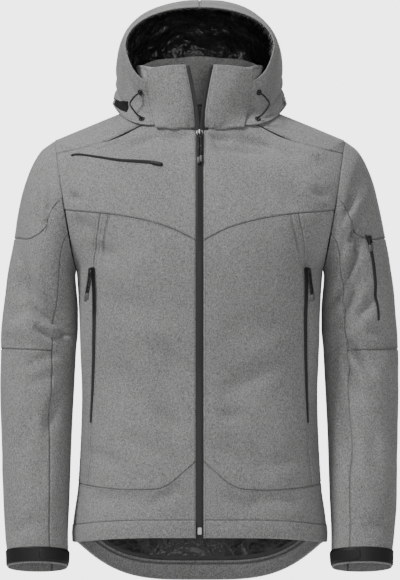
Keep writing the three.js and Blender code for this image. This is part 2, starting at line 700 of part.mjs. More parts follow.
// The lining hangs inside the body from the armpits to the hem band
const liningInset = clothThick + 4;
const liningColumns = 8;
const liningRows = 5;
const liningSpots = [];
const liningStops = [
  ...span(liningColumns).map((t) => [1, -1, t]),
  ...span(liningColumns).slice(1).map((t) => [1, 1, 1 - t]),
  ...span(liningColumns).slice(1).map((t) => [-1, 1, t]),
  ...span(liningColumns).slice(1).map((t) => [-1, -1, 1 - t]),
];
for (const [side, facing, share] of liningStops) {
  liningSpots.push(
    span(liningRows).map((q) => {
      const at = mix(level.band + 4, level.armpit - 12, q);
      const spot = bodySpot(side, facing, share, at, -liningInset);
      spot.point.x *= side;
      spot.inward.x *= side;
      return spot;
    }),
  );
}
add("body_lining", wallGeometry(liningSpots, liningThick), finish.lining);

// Stations round the sleeve are the rows of the body pieces that end on the armhole
const stations = [
  ...span(armholeRows).map((t) => t * armholeStops.yoke),
  ...span(chestRows).map((t) => mix(armholeStops.yoke, armholeStops.seam, t)).slice(1),
  ...span(ridgeRows).map((t) => mix(armholeStops.seam, 180, t)).slice(1),
  ...span(ridgeRows).map((t) => mix(180, 360 - armholeStops.backSeam, t)).slice(1),
  ...span(chestRows)
    .map((t) => mix(360 - armholeStops.backSeam, 360 - armholeStops.backYoke, t))
    .slice(1),
  ...span(armholeRows).map((t) => mix(360 - armholeStops.backYoke, 360, t)).slice(1),
];
const underSeam = { front: stations[3], back: stations[stations.length - 4] };
const between = (low, high) => stations.filter((s) => s >= low - 0.01 && s <= high + 0.01);

const capRows = 6;
const sleeveGap = 1.1; // the sleeve draws back this far twice over where its head meets the body
const capStations = between(stations[5], stations[stations.length - 6]);
const capFirst = capStations[0];
const capLast = capStations[capStations.length - 1];
const capEnd = (turn) => {
  if (turn <= capFirst + 0.01 || turn >= capLast - 0.01) return 0;
  return read(capEdge, "at", turn, "turn");
};
for (const { name, side } of sides) {
  const mirror = side < 0;
  const make = (spots, head) => wallGeometry(spots, clothThick, { mirror, head });
  const panel = (turns, stops, low, high) =>
    turns.map((turn) => stops.map((t) => sleeveSpot(side, turn, mix(low(turn), high(turn), t))));
  const top = between(underSeam.front, underSeam.back);
  add(
    `sleeve_cap_${name}`,
    make(panel(capStations, span(capRows), () => 0, capEnd), sleeveGap),
    finish.shell,
  );
  const upperShares = upperStops.map((stop) => stop / elbowAt);
  const foreShares = foreStops.map((stop) => (stop - elbowAt) / (cuffAt - elbowAt));
  add(
    `sleeve_upper_${name}`,
    make(panel(top, upperShares, capEnd, () => elbowAt), sleeveGap * 0.7),
    finish.shell,
  );
  add(
    `sleeve_fore_${name}`,
    make(panel(top, foreShares, () => elbowAt, () => cuffAt), seamGap),
    finish.shell,
  );
  const under = [
    ...between(underSeam.back, 360).map((turn) => turn - 360),
    ...between(0, underSeam.front).slice(1),
  ];
  const underStops = [...upperStops, ...foreStops.slice(1)];
  const underSpots = under.map((turn) => underStops.map((at) => sleeveSpot(side, turn, at)));
  add(`sleeve_under_${name}`, make(underSpots, sleeveGap), finish.shell);

  // The cuff strap goes round outside the sleeve, and its fastening tab lies on the strap
  const strapProud = 0.35;
  const strapThick = 1.4;
  const strapSpots = stations.slice(0, -1).map((turn) =>
    span(1).map((t) => sleeveSpot(side, turn, mix(strap.from, strap.to, t), strapProud + strapThick)),
  );
  add(
    `cuff_strap_${name}`,
    wallGeometry(strapSpots, strapThick, { ring: true, mirror }),
    finish.strap,
  );
  const tab = { from: 6, to: 84, proud: 0.35 + strapProud + strapThick, thick: 1.2, round: 9 };
  const tabSpots = span(8).map((t) => {
    const turn = mix(tab.from, tab.to, t);
    const taper = Math.sqrt(Math.max(0, 1 - clamp((t - 0.8) / 0.24) ** 2));
    const middle = (strap.from + strap.to) / 2;
    const halfTall = tab.round * taper;
    return span(2).map((q) =>
      sleeveSpot(side, turn, mix(middle - halfTall, middle + halfTall, q), tab.proud + tab.thick),
    );
  });
  add(`cuff_tab_${name}`, wallGeometry(tabSpots, tab.thick, { mirror, gap: 0 }), finish.strap);
}

// Collar: one piece round the back, and two doubled front pieces that lie over the hood's front edges
const collarRows = 4;
const collarLap = { columns: 6, xLow: 69, xTop: 77, z: -31.5, edge: 11.2, low: 6, step: 2.7, thick: 2.4 };
const collarHeights = [0, 30, 54, 78, collarTop];
function collarShare(x, at) {
  const open = read(collarRings, "open", at);
  return Math.asin(clamp((x - open) / (read(collarRings, "half", at) - open))) / (Math.PI / 2);
}
for (const { name, side } of sides) {
  const spots = span(collarLap.columns).map((t, k) => {
    const rise = Math.max(0, (k - 1) / (collarLap.columns - 1)) ** 1.3;
    return collarHeights.map((at, row) => {
      const edge = row > 0 ? collarLap.edge : collarLap.low;
      const lift = k === 0 ? 0.4 : mix(collarLap.step, edge, rise);
      const q = row / collarRows;
      const open = read(collarRings, "open", at);
      const x = mix(open, mix(collarLap.xLow, collarLap.xTop, q), t);
      if (row > 0) return collarSpot(-1, collarShare(x, at), at, lift);
      const place = frontPlace(x, [-31.8, -29.6][k] ?? collarLap.z);
      return bodySpot(side, -1, place.share, place.at, lift);
    });
  });
  add(
    `collar_front_${name}`,
    wallGeometry(spots, collarLap.thick, { mirror: side < 0 }),
    finish.shell,
  );
}
const collarBack = [];
const collarStops = [
  ...span(4).slice(0, -1).map((t) => [1, -1, mix(collarUnder, 1, t)]),
  ...span(6).map((t) => [1, 1, 1 - t]),
  ...span(6).slice(1).map((t) => [-1, 1, t]),
  ...span(4).slice(1).map((t) => [-1, -1, mix(1, collarUnder, t)]),
];
for (const [side, facing, share] of collarStops) {
  collarBack.push(
    span(collarRows).map((q) => {
      const spot = collarSpot(facing, share, q * collarTop);
      if (side < 0) {
        spot.point.x *= -1;
        spot.inward.x *= -1;
      }
      return spot;
    }),
  );
}
add("collar_back", wallGeometry(collarBack, clothThick), finish.shell);

// Hood: two shells that meet along the crown, a lining inside, and a black band under the edge
const hoodStops = [0, 34, 74, 118, 162, 204, 238, 266, 306, hoodEdge];
const hoodColumns = 10;
const liningFrom = 3; // the first column of the hood that its lining covers
const hoodLiningInset = { rim: clothThick + 0.45, inside: clothThick + 2 };
function hoodColumn(side, share, stops, outset, rimOutset = outset) {
  return stops.map((at, row) => {
    const spot = hoodSpot(share, at, row === 0 ? rimOutset : outset);
    if (share > 0.999) {
      spot.point.x = 0;
      spot.inward.setX(0).normalize();
    }
    spot.point.x *= side;
    spot.inward.x *= side;
    return spot;
  });
}
for (const { name, side } of sides) {
  const spots = span(hoodColumns).map((share) => hoodColumn(1, share, hoodStops, 0));
  add(`hood_${name}`, wallGeometry(spots, clothThick, { mirror: side < 0 }), finish.shell);
}
const hoodShares = span(hoodColumns).slice(liningFrom);
const hoodLiningStops = [2, ...hoodStops.slice(1, -2)];
const liningColumn = (side, share) =>
  hoodColumn(side, share, hoodLiningStops, -hoodLiningInset.inside, -hoodLiningInset.rim);
const hoodLining = [
  ...hoodShares.map((share) => liningColumn(1, share)),
  ...hoodShares.slice(0, -1).reverse().map((share) => liningColumn(-1, share)),
];
add("hood_lining", wallGeometry(hoodLining, liningThick), finish.lining);

// The black strip under the hood goes from inside its edge down to the shoulders and up to the collar
const underHood = { inset: 5, drop: 10, thick: 1.2, from: 0.42, height: 10 };
const underSteps = span(6).map((t) => mix(underHood.from, 1, t));
const underStops = [
  ...underSteps.map((share) => [1, share]),
  ...underSteps.slice(0, -1).reverse().map((share) => [-1, share]),
];
const underSpots = underStops.map(([side, share]) => {
  const edge = hoodColumn(1, share, [hoodEdge - 3], -underHood.inset)[0].point;
  const angle = Math.atan2(edge.y, edge.x);
  const facing = edge.y < 0 ? -1 : 1;
  const collarDeep = read(collarRings, facing < 0 ? "front" : "back", underHood.height);
  const collarHalf = read(collarRings, "half", underHood.height);
  const round = Math.atan2(edge.x / collarHalf, Math.abs(edge.y) / collarDeep) / (Math.PI / 2);
  const neck = collarSpot(facing, round, underHood.height, 0.62).point;
  const low = edge.clone().lerp(neck, 0.3).setZ(edge.z - underHood.drop);
  const point = [edge, low, neck];
  const slope = [neck.clone().sub(low), neck.clone().sub(edge), neck.clone().sub(low)];
  return point.map((p, k) => {
    const around = new THREE.Vector3(-Math.sin(angle), Math.cos(angle), 0);
    const inward = around.cross(slope[k]).normalize();
    if (inward.z < 0) inward.negate();
    p.x *= side;
    inward.x *= side;
    return { point: p, inward };
  });
});
add("hood_under", wallGeometry(underSpots, underHood.thick), finish.strap);

// Zip tapes: beside each front edge, from the hem to the top of the collar
const tape = { inner: 0.3, gap: 0.3, sunk: 0.9, thick: 1.0 };
const tapeLevels = [3, 28, 92, 160, 248, 338, 436, 520, 600, 642, 700, 760, 800];
const tapeHeights = [36, 70, collarTop - 1];
for (const { name, side } of sides) {
  const rows = [
    ...tapeLevels.map((at) => ({ ...bodySpot(side, -1, 0, at), edge: zipHalf })),
    ...tapeHeights.map((at) => ({ ...collarSpot(-1, 0, at), edge: read(collarRings, "open", at) })),
  ];
  const spots = rows.map((row) => {
    const inward = row.inward.clone().setX(0).normalize();
    return [row.edge - zipHalf + tape.inner, row.edge - tape.gap].map((x) => ({
      point: row.point.clone().addScaledVector(inward, tape.sunk).setX(x),
      inward,
    }));
  });
  add(
    `zip_tape_${name}`,
    wallGeometry(spots, tape.thick, { gap: 0, mirror: side < 0 }),
    finish.tape,
  );
}

// A strip that follows a line of places on a surface, raised off it
function ribbonGeometry(path, proud, thick, mirror) {
  const last = path.length - 1;
  const spots = path.map((p, k) => {
    const along = path[Math.min(k + 1, last)].point.clone();
    along.sub(path[Math.max(k - 1, 0)].point);
    const out = p.inward.clone().negate();
    const across = along.cross(out).normalize();
    return [-1, 1].map((way) => ({
      point: p.point
        .clone()
        .addScaledVector(out, proud + thick)
        .addScaledVector(across, way * p.half),
      inward: p.inward,
    }));
  });
  return wallGeometry(spots, thick, { gap: 0, mirror });
}
const bodyPlace = (side, x, z) => {
  const place = frontPlace(x, z);
  return bodySpot(side, -1, place.share, place.at);
};
const sleevePlace = (side, x, z) => {
  const [turn, at] = placeOf(sleeveBase, [120, -z - 45], x, z, [0.5, 0.5]);
  return sleeveSpot(side, turn, at);
};
const zipProud = 0.8;
const zipThick = 1.1;

// Side pocket zips run down the pocket seams
const sideZip = [
  { z: -249, half: 3.4 },
  { z: -290, half: 3.4 },
  { z: -331, half: 3.2 },
  { z: -373, half: 3.0 },
  { z: -414, half: 2.7 },
  { z: -455, half: 2.3 },
  { z: -495, half: 1.6 },
];
for (const { name, side } of sides) {
  const path = sideZip.map((row) => ({
    ...bodyPlace(side, read(pocketSeam, "x", row.z, "z"), row.z),
    half: row.half,
  }));
  add(`side_zip_${name}`, ribbonGeometry(path, zipProud, zipThick, side < 0), finish.tape);
}

// Chest pocket zip on the wearer's right, and the sleeve pocket zip on the wearer's left
const chestZip = [
  { x: 203, z: -73.5, half: 2.0 },
  { x: 193, z: -71.5, half: 1.7 },
  { x: 157, z: -76.5, half: 2.0 },
  { x: 124, z: -81.5, half: 2.4 },
  { x: 78, z: -84.8, half: 3.0 },
  { x: 57, z: -89.5, half: 2.8 },
];
const chestPath = chestZip.map((row) => ({ ...bodyPlace(-1, row.x, row.z), half: row.half }));
add("chest_zip", ribbonGeometry(chestPath, zipProud, zipThick, true), finish.tape);
const garage = [
  { x: 77, z: -85.2, half: 1.6 },
  { x: 73, z: -86.0, half: 3.0 },
  { x: 62, z: -88.4, half: 3.0 },
  { x: 58, z: -89.2, half: 1.6 },
];
const garagePath = garage.map((row) => ({ ...bodyPlace(-1, row.x, row.z), half: row.half }));
const garageProud = zipProud + zipThick + 0.35;
add("chest_slider", ribbonGeometry(garagePath, garageProud, 1.2, true), finish.pull);
const sleeveZip = [
  { x: 266, z: -197, half: 2.2 },
  { x: 270, z: -221, half: 3.2 },
  { x: 274.5, z: -247, half: 3.0 },
  { x: 277, z: -272, half: 2.8 },
  { x: 280, z: -300, half: 2.4 },
  { x: 283.5, z: -334, half: 1.8 },
];
const sleevePath = sleeveZip.map((row) => ({ ...sleevePlace(1, row.x, row.z), half: row.half }));
add("sleeve_zip", ribbonGeometry(sleevePath, zipProud, zipThick, false), finish.tape);

// Solid shapes joined with the solid kernel
const wasm = await Module();
wasm.setup();
function toSolid(geometry) {
  const plain = geometry.index ? geometry.toNonIndexed() : geometry;
  const bare = new THREE.BufferGeometry();
  bare.setAttribute("position", plain.getAttribute("position"));
  const merged = mergeVertices(bare, 1e-4);
  return new wasm.Manifold(
    new wasm.Mesh({
      numProp: 3,
      vertProperties: merged.getAttribute("position").array,
      triVerts: new Uint32Array(merged.index.array),
    }),
  );
}
function fromSolid(solid) {
  const mesh = solid.getMesh();
  const geometry = new THREE.BufferGeometry();
  geometry.setAttribute("position", new THREE.BufferAttribute(mesh.vertProperties, 3));
  geometry.setIndex(new THREE.BufferAttribute(mesh.triVerts, 1));
  geometry.computeVertexNormals();
  return geometry;
}
function outline(points) {
  const shape = new THREE.Shape();
  shape.setFromPoints(points.map(([x, y]) => new THREE.Vector2(x, y)));
  return shape;
}
const block = (shape, depth) => new THREE.ExtrudeGeometry(shape, { depth, bevelEnabled: false });

// Slider: a tapered plate on the zip with an arch that the pull's bar hangs in. In its own frame x is
// across the zip, z goes up it and -y stands out from it.
const plateThick = 2.2;
const archInside = { tall: 2.6, reach: 4.2 };
const archThick = 1.2;
const pivotReach = plateThick + archInside.reach / 2;
function sliderGeometry(scale) {
  const half = 5 * scale;
  const plate = block(
    outline([
      [-half * 0.55, -half],
      [half * 0.55, -half],
      [half, half * 0.35],
      [half * 0.8, half],
      [-half * 0.8, half],
      [-half, half * 0.35],
    ]),
    plateThick,
  ).rotateX(Math.PI / 2);
  const top = archInside.tall + archThick;
  const reach = plateThick + archInside.reach;
  const arch = outline([
    [-top, -plateThick / 2],
    [-top, -reach],
    [-top + 1, -reach - archThick],
    [top - 1, -reach - archThick],
    [top, -reach],
    [top, -plateThick / 2],
    [archInside.tall, -plateThick / 2],
    [archInside.tall, -reach],
    [-archInside.tall, -reach],
    [-archInside.tall, -plateThick / 2],
  ]);
  const bail = block(arch, 2.2).rotateY(-Math.PI / 2).translate(1.1, 0, 0);
  return fromSolid(toSolid(plate).add(toSolid(bail)));
}

// Pull: a bar through the arch and a doubled cord that hangs from it, with a slot round the arch
function pullGeometry(length, half) {
  const shape = outline([
    [-half, 0.2],
    [-half + 0.9, 1.1],
    [half - 0.9, 1.1],
    [half, 0.2],
    [half * 0.85, -length * 0.8],
    [half, -length * 0.88],
    [half * 0.7, -length],
    [-half * 0.7, -length],
    [-half, -length * 0.88],
    [-half * 0.85, -length * 0.8],
  ]);
  const slot = new THREE.Path();
  const corners = [
    [-1.6, -1.1],
    [-1.6, -8.4],
    [1.6, -8.4],
    [1.6, -1.1],
  ];
  slot.setFromPoints(corners.map(([x, y]) => new THREE.Vector2(x, y)));
  shape.holes.push(slot);
  return block(shape, 2.4).rotateX(Math.PI / 2).translate(0, 1.2, 0);
}

// Puts a slider on a zip and its pull in the slider's arch. lean turns the hanging pull outwards.
function addZipPull(name, spot, side, base, { scale, length, half, down }) {
  const inward = spot.inward.clone();
  if (side < 0) inward.x *= -1;
  const at = spot.point.clone().setX(side * spot.point.x);
  const across = new THREE.Vector3(0, 0, 1).cross(inward).negate().normalize();
  const up = across.clone().cross(inward);
  const seat = at.clone().addScaledVector(inward, -base);
  const frame = new THREE.Matrix4().makeBasis(across, inward, up).setPosition(seat);
  add(`${name}_slider`, sliderGeometry(scale).applyMatrix4(frame), finish.metal);
  const pivot = seat.clone().addScaledVector(inward, -pivotReach);
  const hang = down.clone().addScaledVector(across, -down.dot(across)).normalize();
  const rise = hang.clone().negate();
  const depth = rise.clone().cross(across);
  const pullFrame = new THREE.Matrix4().makeBasis(across, depth, rise).setPosition(pivot);
  add(`${name}_pull`, pullGeometry(length, half).applyMatrix4(pullFrame), finish.pull);
}
const plumb = new THREE.Vector3(0, 0, -1);
const onZip = zipProud + zipThick + 0.35;
const frontSpot = bodySpot(1, -1, 0, 791);
frontSpot.point.x = 0;
frontSpot.inward.setX(0).normalize();
const pullTip = bodySpot(1, -1, 0, 682).point.setX(0).add(new THREE.Vector3(0, -3.5, 0));
const zipPivot = frontSpot.point.clone().addScaledVector(frontSpot.inward, -pivotReach);
const below = pullTip.sub(zipPivot);
addZipPull("zip", frontSpot, 1, 0.1, { scale: 1.1, length: 52, half: 4.4, down: below });
const sideSpot = (side) => bodyPlace(side, read(pocketSeam, "x", -254, "z"), -254);
for (const { name, side } of sides) {
  const sizes = { scale: 0.95, length: 48, half: 4, down: plumb };
  addZipPull(`side_${name}`, sideSpot(side), side, onZip, sizes);
}
const sleeveSeat = sleevePlace(1, 267, -203);
const sleeveDown = sleevePlace(1, 270, -221).point.sub(sleevePlace(1, 267, -203).point);
addZipPull("sleeve", sleeveSeat, 1, onZip, { scale: 0.85, length: 18, half: 3.6, down: sleeveDown });

// The end stop of the front zip
const stopSpot = bodySpot(1, -1, 0, 10);
const stop = block(outline([[-3.4, -5.5], [3.4, -5.5], [3.4, 5.5], [-3.4, 5.5]]), 2.2)
  .rotateX(Math.PI / 2)
  .translate(0, stopSpot.point.y + 0.5, stopSpot.point.z + 1);
add("zip_stop", stop, finish.metal);

// Hood drawcords: each comes out of one eyelet, bows outwards and goes back in at the next
const cordThick = 2.7;
const eyelet = { inner: 2.3, outer: 4.8, thick: 1.0, proud: 0.4 };
const eyelets = [
  { name: "upper", x: 93.5, z: 27.5 },
  { name: "lower", x: 91.5, z: -15 },
];
const hoodPlace = (x, z) => {
  const [share, at] = placeOf(hoodBase, [0.16, 205 - 4 * z], x, z, [1e-3, 0.5]);
  return hoodSpot(share, at);
};
for (const { name, side } of sides) {
  const holes = eyelets.map((e) => ({ ...hoodPlace(e.x, e.z), label: e.name }));
  for (const hole of holes) {
    const out = hole.inward.clone().negate();
    const profile = [
      [eyelet.inner, 0],
      [eyelet.outer, 0],
      [eyelet.outer - 0.3, eyelet.thick],
      [eyelet.inner + 0.3, eyelet.thick],
      [eyelet.inner, 0],
    ].map(([x, y]) => new THREE.Vector2(x, y));
    const turn = new THREE.Quaternion().setFromUnitVectors(new THREE.Vector3(0, 1, 0), out);
    const ring = new THREE.LatheGeometry(profile, 10)
      .applyQuaternion(turn)
      .translate(...hole.point.clone().addScaledVector(out, eyelet.proud).toArray());
    if (side < 0) ring.scale(-1, 1, 1);
    const plain = new THREE.BufferGeometry();
    plain.setAttribute("position", ring.toNonIndexed().getAttribute("position"));
    add(`eyelet_${name}_${hole.label}`, faceOut(plain), finish.pull);
  }
  const off = (hole, much) => hole.point.clone().addScaledVector(hole.inward, -much);
  const [upper, lower] = holes;
  const bow = [
    off(upper, 0.6),
    off(upper, 4),
    off(upper, 7).add(new THREE.Vector3(5, 0, -4)),
    off(upper, 6).add(new THREE.Vector3(13, 0, -15)),
    off(lower, 7).add(new THREE.Vector3(14, 0, 13)),
    off(lower, 8).add(new THREE.Vector3(6, 0, 2)),
    off(lower, 4),
    off(lower, 0.6),
  ];
  const path = new THREE.CatmullRomCurve3(bow.map((p) => p.clone().setX(side * p.x)));
  const round = new THREE.Shape().absarc(0, 0, cordThick / 2, 0, Math.PI * 2);
  const rope = new THREE.ExtrudeGeometry(round, { steps: 14, curveSegments: 8, extrudePath: path });
  const plain = new THREE.BufferGeometry();
  plain.setAttribute("position", rope.toNonIndexed().getAttribute("position"));
  add(`drawcord_${name}`, faceOut(plain), finish.cord);
}

export default jacket;
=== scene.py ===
# Grey melange softshell jacket: cloth, zips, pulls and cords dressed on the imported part
import json
import math

import bmesh
import bpy
import numpy as np
from mathutils import Matrix, Vector, noise


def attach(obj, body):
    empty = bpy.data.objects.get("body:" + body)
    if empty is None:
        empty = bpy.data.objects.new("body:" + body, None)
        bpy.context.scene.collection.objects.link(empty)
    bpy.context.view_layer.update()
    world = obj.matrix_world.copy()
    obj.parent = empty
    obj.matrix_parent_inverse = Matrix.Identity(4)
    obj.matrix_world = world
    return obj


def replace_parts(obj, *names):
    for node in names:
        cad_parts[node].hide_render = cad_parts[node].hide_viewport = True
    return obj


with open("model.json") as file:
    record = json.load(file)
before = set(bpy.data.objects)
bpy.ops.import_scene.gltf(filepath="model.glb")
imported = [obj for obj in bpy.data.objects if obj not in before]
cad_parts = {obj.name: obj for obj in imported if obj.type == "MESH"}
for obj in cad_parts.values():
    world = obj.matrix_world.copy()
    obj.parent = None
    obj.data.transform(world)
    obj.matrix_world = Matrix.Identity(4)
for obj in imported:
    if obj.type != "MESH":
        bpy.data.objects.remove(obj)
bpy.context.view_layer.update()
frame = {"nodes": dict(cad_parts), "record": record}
mm = 0.001  # every size below is in millimetres until it goes into a mesh


# Tables with named columns, and smooth reading between their rows
def table(columns, *rows):
    return {name: np.array([row[i] for row in rows], float) for i, name in enumerate(columns.split())}


def mix(a, b, t):
    return a + (b - a) * t


def alike(*values):
    return np.broadcast_arrays(*(np.asarray(v, float) for v in values))


def smooth(t):
    t = np.clip(t, 0, 1)
    return t * t * (3 - 2 * t)


def read(rows, column, place, by="at"):
    x, y = rows[by], rows[column]
    if x[0] > x[-1]:
        x, y = x[::-1], y[::-1]
    step = np.diff(x)
    slope = np.diff(y) / step
    tangent = np.concatenate([slope[:1], slope])
    both = slope[:-1] * slope[1:]
    total = np.where(both > 0, slope[:-1] + slope[1:], 1)
    tangent[1:-1] = np.where(both > 0, 2 * both / total, 0)
    k = np.clip(np.searchsorted(x, place, side="right") - 1, 0, len(x) - 2)
    t = np.clip((place - x[k]) / step[k], 0, 1)
    rise = y[k] * (1 + 2 * t) * (1 - t) ** 2 + y[k + 1] * t * t * (3 - 2 * t)
    return rise + step[k] * t * (1 - t) * (tangent[k] * (1 - t) - tangent[k + 1] * t)


# The cut of the jacket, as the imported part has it
cut = {
    "clothThick": 2.0,
    "liningThick": 1.0,
    "zipHalf": 6,
    "armholeFront": 84,
    "armholeBack": 88,
    "hem": 0,
    "band": 28,
    "armpit": 436,
    "shoulder": 642,
    "neck": 806,
    "elbow": 302,
    "cuff": 650,
    "strapFrom": 624,
    "strapTo": 647,
    "collarTop": 102,
    "collarUnder": 0.34,
    "hoodEdge": 350,
    "hoodPower": 2.15,
    "hipShare": 0.34,
}
bodyRings = table(
    "at half front back zFront zSide zBack power swoop",
    (0, 203, 126, 137, -671, -686, -763, 2.5, 2.8),
    (28, 202, 127, 138, -643, -658, -735, 2.5, 3),
    (92, 194, 127, 134, -586, -594, -640, 2.5, 2.5),
    (248, 188, 124, 121, -432, -440, -452, 2.5, 2),
    (338, 191, 132, 127, -342, -350, -350, 2.5, 2),
    (436, 197, 139, 135, -244, -252, -240, 2.5, 2),
    (642, 231, 114, 113, -108, -46, -72, 2.4, 2),
    (806, 80, 79, 74, -33, 17, 16, 2.1, 2),
)
yokeSeam = table("x z", (0, -211), (50, -187), (98, -174), (150, -166), (214, -160))
lowerSeam = table("x z", (0, -547), (26, -569), (47, -587), (66, -595), (110, -597), (195, -592))
shoulderSeam = table("x z", (56, -8), (105, -34), (184, -61), (226, -70))
pocketSeam = table("z x", (-600, 178), (-496, 171), (-373, 166), (-246, 167), (-166, 155))
backYokeSeam = table("x z", (0, -190), (110, -182), (214, -158))
backShoulderSeam = table("x z", (52, 10), (110, -18), (180, -44), (228, -62))
sleeveRings = table(
    "at xOut zOut xIn zIn front back yMid drop",
    (0, 231, -46, 197, -252, 84, 88, 0, 0),
    (22, 255, -65, 198.6, -263, 87, 90, 0, 0),
    (60, 275, -106, 197.8, -277, 85, 87, 1, 0),
    (105, 288, -153, 196.2, -294, 80, 83, 2, 0),
    (160, 300, -214, 194.6, -316, 75, 79, 3, 0),
    (230, 311, -288, 194.6, -345, 71, 75, 3, 0),
    (302, 318, -379, 197.5, -383, 68, 71, 0, 0.02),
    (365, 318, -442, 200.5, -442, 63, 65, -5, 0.05),
    (445, 316, -520, 204, -520, 59, 60, -14, 0.1),
    (535, 313, -610, 206.5, -610, 54, 55, -26, 0.16),
    (600, 309, -675, 208.8, -675, 50, 50, -34, 0.22),
    (626, 306, -701, 208.5, -701, 48, 48, -38, 0.24),
    (650, 305, -725, 209.5, -725, 47, 47, -41, 0.25),
)
capEdge = table(
    "turn at",
    (95, 0),
    (98, 60),
    (107, 98),
    (123, 126),
    (141, 139),
    (180, 150),
    (219, 139),
    (237, 126),
    (253, 98),
    (262, 60),
    (265, 0),
)
collarRings = table(
    "at half front back zFront zSide zBack open",
    (0, 80, 79, 74, -32, 17.5, 16.5, 6),
    (35, 90, 83, 79, 2, 33, 43, 9.5),
    (70, 97, 84, 81, 36, 48, 70, 15),
    (102, 101, 83, 80, 69, 60, 96, 22),
)
hoodArches = table(
    "at xFoot yFoot zFoot xBend yBend zBend half yHip zHip yTop zTop",
    (0, 71, -65.5, 44, 108, -64, 42, 119, -48, 100, -26, 166),
    (45, 71, -62, 33, 112, -60, 30, 128, -20, 92, 22, 181.5),
    (105, 71, -56.5, 20, 116, -58, 17, 133, 22, 80, 82, 185),
    (170, 71, -54, 8, 118, -59, 4, 135, 48, 62, 142, 162),
    (235, 71, -56, -4, 120, -63, -8, 136, 52, 44, 178, 112),
    (290, 71, -62.5, -14, 120, -70, -17, 138, 36, 27, 172, 66),
    (350, 71, -71, -24, 119, -76, -26, 138, 4, 14, 116, 26),
)

# Folds, listed one by one. Body folds run between two places seen from the front or back, sleeve folds by
# the angle round the sleeve and the way down it. A depth below nought is a ridge.
frontFolds = table(
    "u0 w0 u1 w1 wide deep",
    (200, -168, 140, -150, 15, 3),
    (-32, -500, -120, -420, 26, 5),
    (-30, -560, -100, -520, 18, 5),
    (18, -520, 90, -560, 20, 5),
    (-150, -612, -95, -610, 12, 4),
    (90, -610, 150, -612, 12, 4),
    (30, -52, 150, -66, 14, 4),
    (-30, -50, -130, -56, 14, 3.5),
)
frontCreases = table(
    "u0 w0 u1 w1 wide deep",
    (16, -44, 52, -47, 4.5, 2.4),
    (60, -44, 118, -58, 6, 2.6),
    (118, -52, 190, -74, 8, -1.8),
    (20, -62, 108, -72, 7, 1.8),
    (-18, -44, -60, -42, 4, 1.8),
    (-66, -44, -112, -56, 6, 1.6),
    (-205, -134, -186, -146, 6, 2.4),
    (-206, -176, -160, -196, 13, 2.2),
    (-176, -214, -128, -236, 12, 2.2),
    (206, -140, 176, -128, 7, 2.2),
    (198, -190, 168, -250, 13, 1.8),
    (110, -120, 176, -152, 15, 1.6),
    (-60, -330, -150, -290, 22, 1.6),
    (40, -360, 150, -330, 26, 1.6),
    (-20, -420, -80, -360, 13, 2.6),
    (30, -450, 120, -400, 17, 2.4),
    (-26, -505, -74, -470, 11, 2.2),
    (24, -476, 66, -486, 10, 2.2),
    (-24, -592, -84, -622, 10, 1.8),
    (26, -604, 96, -630, 11, 1.6),
    (-120, -560, -180, -540, 12, 1.8),
    (110, -560, 178, -536, 13, 1.8),
    (182, -300, 186, -440, 11, -1.4),
    (-182, -300, -186, -440, 11, -1.4),
)
backCreases = table(
    "u0 w0 u1 w1 wide deep",
    (-190, -196, -60, -236, 22, 3.2),
    (188, -190, 76, -246, 20, 3),
    (-120, -330, 30, -356, 26, 2.4),
    (150, -366, 20, -410, 26, 2.8),
    (-150, -470, -40, -446, 24, 2.6),
    (120, -500, 10, -474, 22, 2.4),
    (-60, -30, 60, -34, 15, 2.6),
    (-150, -92, -40, -64, 18, 2),
    (150, -88, 36, -66, 18, 2),
    (-30, -560, -110, -620, 20, 2),
    (40, -570, 130, -616, 20, 2),
)
sleeveFolds = {
    "right": table(
        "u0 w0 u1 w1 wide deep",
        (60, 232, 118, 206, 22, 8),
        (40, 262, 140, 268, 27, -4.5),
        (62, 288, 128, 292, 20, 5.5),
        (150, 150, 84, 236, 24, 6),
        (128, 24, 112, 82, 15, 6.5),
        (245, 60, 285, 160, 27, 5.5),
        (250, 250, 320, 280, 24, 6.5),
        (60, 420, 84, 520, 21, 2.5),
    ),
    "left": table(
        "u0 w0 u1 w1 wide deep",
        (92, 18, 130, 40, 21, 7),
        (80, 56, 112, 92, 20, 5.5),
        (62, 150, 118, 98, 26, 6.5),
        (66, 232, 92, 176, 21, 5.5),
        (50, 286, 110, 306, 22, 6.5),
        (42, 330, 62, 480, 24, 4.5),
        (245, 70, 288, 165, 27, 5.5),
        (248, 262, 318, 286, 24, 6.5),
    ),
}
